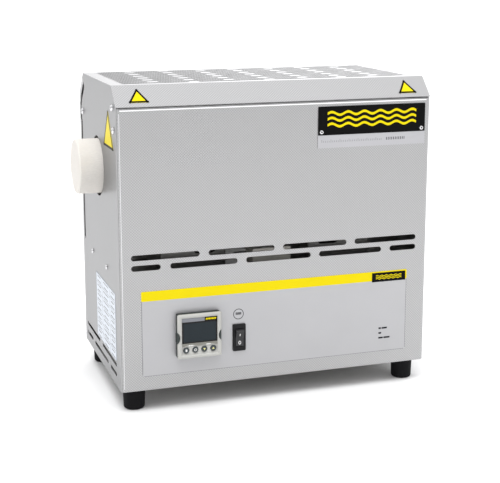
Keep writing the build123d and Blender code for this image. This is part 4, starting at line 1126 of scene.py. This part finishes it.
@dataclass
class ControlPanel:
    """The prints on the foil round the controller and the switch, and a painted shadow along the foil's
    edge.
    """

    stripe_height: float = 10.7 * MM
    stripe_corner: float = 1.2 * MM
    tab_width: float = 40.6 * MM
    tab_height: float = 10.5 * MM
    tab_inset: float = 1.7 * MM
    tab_drop: float = 1.5 * MM
    tab_corner: float = 0.3 * MM
    bar_length: float = 31 * MM
    bar_breadth: float = 0.75 * MM
    bar_swing: float = 0.5 * MM
    bar_turns: float = 5.5
    bar_pitch: float = 1.75 * MM
    line: float = 0.4 * MM
    line_gap: float = 1.5 * MM
    ring_radius: float = 5.9 * MM
    ring_stroke: float = 0.7 * MM
    ring_shift: float = 0.5 * MM
    ring_above_switch: float = 25.9 * MM
    tick_width: float = 0.95 * MM
    tick_tall: float = 2.7 * MM
    tick_pitch: float = 1.3 * MM
    tick_rise: float = 0.6 * MM
    print_lengths: tuple[tuple[float, ...], ...] = ((3.0, 6.5), (3.4,), (5.5, 7.5))
    print_gap: float = 0.8
    print_tall: float = 1.9 * MM
    print_pitch: float = 5.6 * MM
    print_inset: float = 33 * MM
    print_rise: float = 27 * MM

    def build(self) -> None:
        """Lay the stripe, its black tab, the painted edge shadow and the small marks."""
        low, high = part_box("control_label")
        width = high.x - low.x
        face = front_spot((low.x + high.x) / 2, low.y, high.z - self.stripe_height / 2)
        stripe = Shape().card(width, self.stripe_height, FILM, self.stripe_corner)
        stripe.done("panel_stripe", face, SIGNAL_YELLOW, Body.CASING, "sticker_yellow")
        tab_x = high.x - self.tab_inset - self.tab_width / 2
        tab_z = high.z - self.tab_drop - self.tab_height / 2
        tab = Shape().card(self.tab_width, self.tab_height, FILM, self.tab_corner)
        under = front_spot(tab_x, low.y - FILM, tab_z)
        tab.done("stripe_tab", under, BADGE_BLACK, Body.CASING, "badge_black")
        marks = Shape()
        for row in (-1, 0, 1):
            place = (0, row * self.bar_pitch)
            marks.wave(self.bar_length, self.bar_breadth, self.bar_swing, self.bar_turns, place, steps=66)
        over = front_spot(tab_x, low.y - 2 * FILM, tab_z)
        marks.done("stripe_tab_mark", over, SIGNAL_YELLOW, Body.CASING, "sticker_yellow")
        self._edge_shadow_line(low, high)
        self._ring()
        self._fine_print(low, high)

    def _edge_shadow_line(self, low: Vector, high: Vector) -> None:
        """Lay the thin grey line round the foil below the stripe, as a painted shadow of the foil's edge.

        Args:
            low: Lowest corner of the foil.
            high: Highest corner of the foil.
        """
        foot = high.z - self.stripe_height
        width, height = high.x - low.x, foot - low.z
        # Grey lines at the sides and foot: painted shadow of the foil's edge.
        border = Shape()
        for place in (-width / 2 + self.line, width / 2 - self.line):
            border.card(self.line, height - self.line_gap, FILM, centre=(place, self.line_gap / 2))
        border.card(width - 2 * self.line_gap, self.line, FILM, centre=(0, -height / 2 + self.line))
        spot = front_spot((low.x + high.x) / 2, low.y, (foot + low.z) / 2)
        border.done("panel_edge_shadow", spot, PRINT_GREY, Body.CASING, "label_foil")

    def _ring(self) -> None:
        """Lay the ring over the switch and the ticks in it."""
        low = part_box("control_label")[0]
        switch = middle("switch_housing")
        spot = front_spot(switch.x - self.ring_shift, low.y, switch.z + self.ring_above_switch)
        ring = Shape().ring(self.ring_radius, self.ring_stroke)
        ring.done("ring_mark", spot, PRINT_DARK, Body.CASING, "label_foil")
        ticks = Shape()
        for step in range(-2, 3):
            ticks.card(self.tick_width, self.tick_tall, centre=(step * self.tick_pitch, self.tick_rise))
        ticks.done("ring_ticks", spot, PRINT_DARK, Body.CASING, "label_foil")

    def _fine_print(self, low: Vector, high: Vector) -> None:
        """Lay three rows of plain dashes at the lower right.

        Args:
            low: Lowest corner of the foil.
            high: Highest corner of the foil.
        """
        rows = Shape()
        for row, lengths in enumerate(self.print_lengths):
            reach = 0.0
            for length in lengths:
                place = ((reach + length / 2) * MM, -row * self.print_pitch)
                rows.card(length * MM, self.print_tall, centre=place)
                reach += length + self.print_gap
        spot = front_spot(high.x - self.print_inset, low.y, low.z + self.print_rise)
        rows.done("panel_fine_print", spot, PRINT_DARK, Body.CASING, "label_foil")


@dataclass
class Stickers:
    """Black borders on the plain yellow triangles, and the rules of the rating plate."""

    slope_corners: tuple[Point2, ...] = ((-10.75, -9.15), (10.75, -9.15), (0.0, 9.15))
    slope_x: float = 149.8 * MM
    slope_half: float = 10.25 * MM
    slope_lift: float = 0.3 * MM
    slope_margin: float = 0.8 * MM
    slope_stroke: float = 2.0 * MM
    slope_round: float = 0.35 * MM
    side_corners: tuple[Point2, ...] = ((-24.5, -19.75), (24.5, -19.75), (-0.1, 19.75))
    side_y: float = -61.5 * MM
    side_z: float = 299.25 * MM
    side_margin: float = 1.9 * MM
    side_stroke: float = 2.6 * MM
    side_round: float = 0.6 * MM
    form_rows: int = 7
    form_columns: Point2 = (-0.18, 0.22)
    form_margin: float = 2 * MM
    form_line: float = 0.4 * MM
    form_rule: float = 0.35 * MM
    rule_gap: float = 5 * MM
    entry_columns: tuple[float, ...] = (-0.34, 0.02, 0.36)
    entry_tall: float = 0.9 * MM
    entry_drop: float = 0.27

    def build(self) -> None:
        """Lay every border and the plate's rules."""
        self._slope_borders()
        self._side_borders()
        self._rating_rules()

    def _slope_borders(self) -> None:
        """Lay the borders of the two triangles on the sloped edge."""
        low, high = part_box("top_hood")
        tilt = Vector((0, 1, 1)).normalized()
        out = Vector((0, -1, 1)).normalized()
        slope_middle = Vector((0, low.y + self.slope_half, high.z - self.slope_half))
        slope = Shape()
        corners = [(x * MM, y * MM) for x, y in self.slope_corners]
        for side in (-1, 1):
            moved = [(x + side * self.slope_x, y) for x, y in corners]
            slope.outline(moved, self.slope_margin, self.slope_stroke, self.slope_round)
        spot = Spot(slope_middle + out * self.slope_lift, Vector((1, 0, 0)), tilt)
        slope.done("slope_sticker_borders", spot, BADGE_BLACK, Body.CASING, "badge_black")

    def _side_borders(self) -> None:
        """Lay the border of the triangle on each side panel."""
        low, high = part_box("triangle_stickers")
        for side, name in ((-1, "left_sticker_border"), (1, "right_sticker_border")):
            flipped = [(side * x * MM, y * MM) for x, y in self.side_corners]
            ordered = flipped if side > 0 else [flipped[1], flipped[0], flipped[2]]
            place = side_spot(side, low.x if side < 0 else high.x, self.side_y, self.side_z)
            border = Shape().outline(ordered, self.side_margin, self.side_stroke, self.side_round)
            border.done(name, place, BADGE_BLACK, Body.CASING, "badge_black")

    def _rating_rules(self) -> None:
        """Rule the rating plate like a form and fill it with plain dashes."""
        low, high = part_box("rating_plate")
        wide, tall = high.y - low.y, high.z - low.z
        spot = side_spot(-1, low.x, (low.y + high.y) / 2, (low.z + high.z) / 2)
        rules = Shape().outline(oblong(wide, tall), self.form_margin, self.form_line, 0.0)
        for row in range(1, self.form_rows):
            place = (0, tall / 2 - row * tall / self.form_rows)
            rules.card(wide - self.rule_gap, self.form_rule, centre=place)
        for column in self.form_columns:
            rules.card(self.form_rule, tall - self.rule_gap, FILM / 2, centre=(column * wide, 0))
        rules.done("rating_plate_rules", spot, PRINT_GREY, Body.CASING, "rating_foil")
        entries = Shape()
        for row in range(2 * self.form_rows):
            height = tall / 2 - (row / 2 + self.entry_drop) * tall / self.form_rows
            lengths = (15.0 + row % 3 * 2.5, 27.0 - row % 2 * 6.0, 14.0 + row % 2 * 5.0)
            for column, length in zip(self.entry_columns, lengths):
                entries.card(length * MM, self.entry_tall, centre=(column * wide, height))
        entries.done("rating_plate_entries", spot, PRINT_GREY, Body.CASING, "rating_foil")


@dataclass
class ControllerFace:
    """The films and marks in the controller's recessed front."""

    recess_floor: float = 0.7 * MM
    header_width: float = 38.6 * MM
    header_height: float = 4.2 * MM
    header_top: float = 4.3 * MM
    header_thick: float = 0.4 * MM
    header_corner: float = 0.5 * MM
    header_soft: float = 0.05 * MM
    tab_width: float = 13.8 * MM
    tab_height: float = 4.4 * MM
    tab_corner: float = 0.4 * MM
    bar_count: int = 7
    bar_width: float = 1.2 * MM
    bar_tall: float = 1.9 * MM
    bar_pitch: float = 1.65 * MM
    bar_slant: float = 0.5 * MM
    frame_margin: float = 0.2 * MM
    frame_stroke: float = 1.5 * MM
    frame_round: float = 0.4 * MM
    band_height: float = 3.6 * MM
    band_bite: float = 1.9 * MM
    band_thick: float = 0.3 * MM
    dash_width: float = 5.2 * MM
    dash_tall: float = 1.0 * MM
    dash_thick: float = 0.1 * MM
    dash_corner: float = 0.3 * MM
    dash_drop: float = 0.9 * MM

    def build(self) -> None:
        """Lay the header, its badge, the scalloped band and the four key marks."""
        low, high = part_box("controller_bezel")
        window_low, window_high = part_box("display_window")
        floor = low.y + self.recess_floor
        header_z = high.z - self.header_top - self.header_height / 2
        header = Shape().card(
            self.header_width, self.header_height, self.header_thick, self.header_corner,
            soft=self.header_soft,
        )
        face = front_spot((low.x + high.x) / 2, floor, header_z)
        header.done("controller_header", face, HEADER_GREY, Body.CONTROLLER, "bezel_plastic")
        tab_x = window_high.x - self.tab_width / 2
        tab = Shape().card(self.tab_width, self.tab_height, 2 * FILM, self.tab_corner)
        under = front_spot(tab_x, floor - self.header_thick, header_z)
        tab.done("controller_tab", under, BADGE_BLACK, Body.CONTROLLER, "badge_black")
        bars = Shape()
        for step in range(self.bar_count):
            place = ((step - self.bar_count // 2) * self.bar_pitch - self.bar_slant / 2, 0)
            bars.card(self.bar_width, self.bar_tall, centre=place, slant=self.bar_slant)
        over = front_spot(tab_x, floor - self.header_thick - 2 * FILM, header_z)
        bars.done("controller_tab_mark", over, SIGNAL_YELLOW, Body.CONTROLLER, "sticker_yellow")
        self._frame_and_band(window_low, window_high, floor)
        self._key_marks()

    def _frame_and_band(self, low: Vector, high: Vector, floor: float) -> None:
        """Lay the display's dark inner frame and the band under it.

        Args:
            low: Lowest corner of the window.
            high: Highest corner of the window.
            floor: Depth of the recess floor.
        """
        wide, tall = high.x - low.x, high.z - low.z
        window = front_spot((low.x + high.x) / 2, low.y, (low.z + high.z) / 2)
        inner = Shape().outline(oblong(wide, tall), self.frame_margin, self.frame_stroke, self.frame_round)
        inner.done("display_frame", window, BLACK_PLASTIC, Body.CONTROLLER, "display_film")
        below = front_spot(window.origin.x, floor, low.z - self.band_height / 2)
        band = Shape().scalloped(wide, self.band_height, self.band_bite, 2, self.band_thick)
        band.done("display_band", below, BAND_GREY, Body.CONTROLLER, "bezel_plastic")
        dashes = Shape()
        for side in (-1, 1):
            place = (side * wide / 4, -self.dash_drop)
            dashes.card(self.dash_width, self.dash_tall, self.dash_thick, self.dash_corner, centre=place)
        dashes.done("display_band_dashes", below, PRINT_WHITE, Body.CONTROLLER, "bezel_plastic")

    def _key_marks(self) -> None:
        """Lay a simple mark on each key."""
        triangle = ((-1.4 * MM, -0.9 * MM), (1.4 * MM, -0.9 * MM), (0.0, 1.4 * MM))
        turned = ((-1.4 * MM, 0.9 * MM), (0.0, -1.4 * MM), (1.4 * MM, 0.9 * MM))
        shapes: tuple[tuple[str, Body, Finish, Callable[[Shape], Shape]], ...] = (
            ("key_page", Body.PAGE_KEY, PRINT_WHITE, lambda s: s.card(1.9 * MM, 2.6 * MM, corner=0.25 * MM)),
            ("key_scroll", Body.SCROLL_KEY, PRINT_WHITE, lambda s: s.ring(1.5 * MM, 0.55 * MM, steps=32)),
            ("key_down", Body.DOWN_KEY, KEY_CREAM, lambda s: s.outline(turned, 0.0, 0.0, 0.15 * MM)),
            ("key_up", Body.UP_KEY, KEY_CREAM, lambda s: s.outline(triangle, 0.0, 0.0, 0.15 * MM)),
        )
        for node, body, finish, draw in shapes:
            centre = middle(node)
            face = front_spot(centre.x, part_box(node)[0].y, centre.z)
            draw(Shape()).done(f"{node}_mark", face, finish, body, "key_rubber")


@dataclass
class FoldHighlights:
    """Painted highlights: bright bands along the front sheet's folds, where their rounds would reflect the
    bright sky.
    """

    hood_seam: float = 2.75 * MM
    end_gap: float = 6 * MM
    top_width: float = 1.2 * MM
    top_corner: float = 0.4 * MM
    left_width: float = 0.35 * MM
    left_corner: float = 0.15 * MM
    left_inset: float = 2.3 * MM

    def build(self) -> None:
        """Lay the painted highlight under the hood's seam and the one at the left fold."""
        low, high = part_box("front_panel")
        lip = high.z - self.hood_seam
        wide, tall = high.x - low.x - self.end_gap, lip - low.z - self.end_gap
        top = Shape().card(wide, self.top_width, FILM / 2, self.top_corner)
        seam = front_spot((low.x + high.x) / 2, low.y, lip)
        top.done("top_fold_highlight", seam, FOLD_HIGHLIGHT, Body.CASING, "textured_steel")
        left = Shape().card(self.left_width, tall, FILM / 2, self.left_corner)
        fold = front_spot(low.x + self.left_inset, low.y, (lip + low.z) / 2)
        left.done("left_fold_highlight", fold, FOLD_HIGHLIGHT, Body.CASING, "textured_steel")


@dataclass
class BezelSideShade:
    """The controller's bezel: a pale face, with its side walls near the panel coloured dark as painted shade
    of the gap between bezel and panel.
    """

    face_depth: float = 1.7 * MM
    side_step: float = 2 * MM
    rim: float = 0.3 * MM

    def build(self) -> None:
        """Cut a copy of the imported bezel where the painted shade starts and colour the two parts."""
        low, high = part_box("controller_bezel")
        cut = low.y + self.face_depth
        bm = bmesh.new()
        bm.from_mesh(frame["nodes"]["controller_bezel"].data)
        bmesh.ops.remove_doubles(bm, verts=bm.verts, dist=0.001 * MM)
        bmesh.ops.bisect_plane(
            bm, geom=bm.verts[:] + bm.edges[:] + bm.faces[:], dist=0.0001 * MM,
            plane_co=(0, cut, 0), plane_no=(0, 1, 0),
        )
        inset = self.side_step + self.rim
        for face in bm.faces:
            centre = face.calc_center_median()
            outer = (
                centre.x < low.x + inset or centre.x > high.x - inset
                or centre.z < low.z + self.rim or centre.z > high.z - self.rim
            )
            # Outer wall faces behind the face get the dark material: painted shade.
            face.material_index = 1 if centre.y > cut and outer else 0
        mesh = bpy.data.meshes.new("bezel_side_shade")
        bm.to_mesh(mesh)
        bm.free()
        mesh.shade_smooth()
        mesh.set_sharp_from_angle(angle=math.radians(30))
        piece = bpy.data.objects.new("bezel_side_shade", mesh)
        bpy.context.scene.collection.objects.link(piece)
        PAINT.coat(piece, BEZEL_PLASTIC)
        # The dark plastic, used as painted shade on the side walls.
        mesh.materials.append(PAINT.material(SLEEVE_PLASTIC))
        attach(piece, Body.CONTROLLER.value)
        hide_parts("controller_bezel")
        LOG.info("piece bezel_side_shade on %s, %d faces", Body.CONTROLLER.value, len(mesh.polygons))


@dataclass
class RockerMarks:
    """The plain bar and ring on the two faces of the switch rocker."""

    tilt: float = math.radians(9)
    pivot_y: float = -99.5 * MM
    waist: float = 3.4 * MM
    crest: float = 8.5 * MM
    radius: float = 10.0 * MM
    bar_width: float = 0.9 * MM
    bar_tall: float = 3.0 * MM
    bar_corner: float = 0.2 * MM
    ring_radius: float = 1.5 * MM
    ring_stroke: float = 0.62 * MM
    ring_tall: float = 1.35

    def build(self) -> None:
        """Lay the bar on the upper face and the ring on the lower one."""
        switch = middle("switch_housing")
        pivot = Vector((switch.x, self.pivot_y, switch.z))
        outward = Vector((0, -math.cos(self.tilt), -math.sin(self.tilt)))
        down = Vector((0, math.sin(self.tilt), -math.cos(self.tilt)))
        rise = math.sqrt(self.radius ** 2 - self.crest ** 2) - self.waist
        for name, sign, share in (("rocker_bar", -1, 0.5), ("rocker_ring", 1, 0.56)):
            place = pivot + outward * (self.waist + rise * share) + down * (sign * self.crest * share)
            up = (outward * (-sign * rise) - down * self.crest).normalized()
            shape = Shape()
            if sign < 0:
                shape.card(self.bar_width, self.bar_tall, corner=self.bar_corner)
            else:
                shape.ring(self.ring_radius, self.ring_stroke, tall=self.ring_tall, steps=40)
            spot = Spot(place, Vector((1, 0, 0)), up)
            shape.done(name, spot, PRINT_WHITE, Body.ROCKER, "black_plastic")


@dataclass
class TubePlug:
    """One fibre plug: a felted head on the casing and a stem in the work tube."""

    node: str
    body: Body
    side: int
    tube_radius: float = 20.3 * MM
    stem_radius: float = 14.7 * MM
    socket_depth: float = 19.7 * MM
    edge: float = 1.8 * MM
    head: float = 29.0 * MM
    skin: float = 0.12 * MM
    felt_depth: float = 0.16 * MM
    felt_lumps: float = 190.0
    felt_drift: float = 3.1

    def build(self) -> None:
        """Turn the plug in one piece and felt its surface."""
        low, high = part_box(self.node)
        radius = (high.z - low.z) / 2 - self.skin
        length, head = high.x - low.x, self.head
        points: list[Point2] = [(0.0, 0.0)]
        points += [(radius * share, 0.0) for share in (0.12, 0.25, 0.38, 0.5, 0.62, 0.74, 0.86)]
        points += self._corner(radius, 0.0, -1)
        points += [(radius, -head * step / 9) for step in range(1, 9)]
        points += self._corner(radius, -head, 1)
        points += [(self.tube_radius, -head), (self.tube_radius, -self.socket_depth - 4 * MM)]
        points += [(self.tube_radius, -self.socket_depth), (self.stem_radius, -self.socket_depth)]
        stem = (length - self.socket_depth - 1 * MM) / 6
        points += [(self.stem_radius, -self.socket_depth - step * stem) for step in range(1, 7)]
        points += [(self.stem_radius - 1 * MM, -length), (self.stem_radius / 2, -length), (0.0, -length)]
        centre = middle(self.node)
        face_x = low.x if self.side < 0 else high.x
        spot = side_spot(self.side, face_x - self.side * self.skin, centre.y, centre.z)
        drift = self.felt_drift * self.side
        shape = Shape().turned(points, 112).roughen(self.felt_depth, self.felt_lumps, drift)
        piece = shape.done(f"{self.node}_block", spot, PLUG_FIBRE, self.body, "fibre", smooth=True)
        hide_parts(self.node)

    def _corner(self, radius: float, height: float, turn: int) -> list[Point2]:
        """Points round one outer corner of the head.

        Args:
            radius: Radius of the head.
            height: Height of the face at the corner.
            turn: -1 for the outer face, 1 for the inner one.

        Returns:
            Five points as (radius, height).
        """
        points = []
        for step in range(5):
            angle = math.radians(22.5 * step)
            inward = self.edge * (1 - math.sin(angle))
            down = self.edge * (1 - math.cos(angle))
            points.append((radius - inward, height + turn * down))
        return points if turn < 0 else points[::-1]


# ---------------------------------------------------------------- stage


@dataclass
class Studio:
    """A pale floor, soft light all round and the camera."""

    camera_place: Vector = field(default_factory=lambda: Vector((-0.4172, -1.2571, 0.4644)))
    azimuth: float = math.radians(-18.384)
    elevation: float = math.radians(11.302)
    lens: float = 84.66
    shift_up: float = -0.08
    even_light: float = 0.5
    overhead_gain: float = 1.12
    back_gain: float = 2.1
    sun: float = 1.4
    sun_width: float = math.radians(32)
    sun_turn: Point2 = (math.radians(16), math.radians(-8))
    backdrop: float = 1.05
    floor_half: float = 20.0

    def build(self) -> None:
        """Set the stage."""
        self._colours()
        self._floor()
        self._sky()
        self._lamps()
        self._camera()

    def _colours(self) -> None:
        """Show colours as they are, with no film look."""
        settings = bpy.context.scene.view_settings
        settings.view_transform = "Standard"
        settings.look = "None"

    def _floor(self) -> None:
        """Lay the pale floor that the object stands on."""
        bm = bmesh.new()
        bmesh.ops.create_grid(bm, x_segments=8, y_segments=8, size=self.floor_half)
        mesh = bpy.data.meshes.new("studio_floor")
        bm.to_mesh(mesh)
        bm.free()
        floor = bpy.data.objects.new("studio_floor", mesh)
        bpy.context.scene.collection.objects.link(floor)
        nodes = Nodes("studio_floor")
        pale = nodes.finish(Base_Color=(0.9, 0.9, 0.9, 1.0), Roughness=0.9, Specular_IOR_Level=0.0)
        mesh.materials.append(pale)

    def _sky(self) -> None:
        """Soft light from all round, plain white where the camera sees it."""
        world = bpy.data.worlds.new("studio")
        bpy.context.scene.world = world
        world.use_nodes = True
        tree = world.node_tree
        light = tree.nodes["Background"]
        light.inputs["Color"].default_value = (1.0, 1.0, 1.01, 1.0)
        tree.links.new(self._brightness(tree), light.inputs["Strength"])
        seen = tree.nodes.new("ShaderNodeBackground")
        seen.inputs["Color"].default_value = (1.0, 1.0, 1.0, 1.0)
        seen.inputs["Strength"].default_value = self.backdrop
        path = tree.nodes.new("ShaderNodeLightPath")
        both = tree.nodes.new("ShaderNodeMixShader")
        tree.links.new(path.outputs["Is Camera Ray"], both.inputs[0])
        tree.links.new(light.outputs[0], both.inputs[1])
        tree.links.new(seen.outputs[0], both.inputs[2])
        tree.links.new(both.outputs[0], tree.nodes["World Output"].inputs["Surface"])

    def _brightness(self, tree: bpy.types.NodeTree) -> Socket:
        """Brightness of the sky: even, stronger overhead and at the back right.

        Args:
            tree: Node tree of the world.

        Returns:
            The brightness.
        """
        direction = tree.nodes.new("ShaderNodeTexCoord")
        parts = tree.nodes.new("ShaderNodeSeparateXYZ")
        tree.links.new(direction.outputs["Generated"], parts.inputs[0])
        high = self._rise(tree, parts.outputs["Z"], 0.3, 0.95)
        far = self._rise(tree, parts.outputs["Y"], 0.3, 0.9)
        right = self._rise(tree, parts.outputs["X"], -0.1, 0.45)
        overhead = self._sum(tree, "MULTIPLY", high, self.overhead_gain)
        back = self._sum(tree, "MULTIPLY", self._sum(tree, "MULTIPLY", far, right), self.back_gain)
        return self._sum(tree, "ADD", self._sum(tree, "ADD", overhead, back), self.even_light)

    def _rise(self, tree: bpy.types.NodeTree, value: Socket, start: float, end: float) -> Socket:
        """A smooth step from 0 to 1.

        Args:
            tree: Node tree of the world.
            value: The value.
            start: Where the step starts.
            end: Where it ends.

        Returns:
            The step.
        """
        ramp = tree.nodes.new("ShaderNodeMapRange")
        ramp.interpolation_type = "SMOOTHSTEP"
        ramp.inputs["From Min"].default_value = start
        ramp.inputs["From Max"].default_value = end
        tree.links.new(value, ramp.inputs["Value"])
        return ramp.outputs["Result"]

    def _sum(self, tree: bpy.types.NodeTree, kind: str, first: Socket, second: Socket | float) -> Socket:
        """One sum of a socket and another value.

        Args:
            tree: Node tree of the world.
            kind: Operation of the Math node.
            first: First value.
            second: Second value.

        Returns:
            The result.
        """
        node = tree.nodes.new("ShaderNodeMath")
        node.operation = kind
        tree.links.new(first, node.inputs[0])
        if isinstance(second, bpy.types.NodeSocket):
            tree.links.new(second, node.inputs[1])
        else:
            node.inputs[1].default_value = second
        return node.outputs[0]

    def _lamps(self) -> None:
        """One broad soft lamp from above."""
        lamp = bpy.data.lights.new("overhead", "SUN")
        lamp.energy = self.sun
        lamp.angle = self.sun_width
        holder = bpy.data.objects.new("overhead", lamp)
        holder.rotation_euler = (*self.sun_turn, 0)
        holder.visible_glossy = False
        bpy.context.scene.collection.objects.link(holder)

    def _camera(self) -> None:
        """Place the camera at its height, direction and distance."""
        data = bpy.data.cameras.new("camera")
        data.lens = self.lens
        data.sensor_width = 36.0
        data.shift_y = self.shift_up
        data.clip_start = 0.05
        camera = bpy.data.objects.new("camera", data)
        bpy.context.scene.collection.objects.link(camera)
        back = Vector((
            math.sin(self.azimuth) * math.cos(self.elevation),
            -math.cos(self.azimuth) * math.cos(self.elevation),
            math.sin(self.elevation),
        ))
        camera.location = self.camera_place
        camera.rotation_mode = "QUATERNION"
        camera.rotation_quaternion = (-back).to_track_quat("-Z", "Y")
        bpy.context.scene.camera = camera


def main() -> None:
    """Build every sub-assembly in order."""
    logging.basicConfig(level=logging.INFO, format="%(name)s: %(message)s")
    Studio().build()
    PAINT.dress_packed_nodes(frame["nodes"], frame["record"])
    BadgePlate().build()
    ControlPanel().build()
    Stickers().build()
    BezelSideShade().build()
    ControllerFace().build()
    FoldHighlights().build()
    RockerMarks().build()
    TubePlug("left_tube_plug", Body.LEFT_PLUG, -1).build()
    TubePlug("right_tube_plug", Body.RIGHT_PLUG, 1).build()


if __name__ == "__main__":
    main()
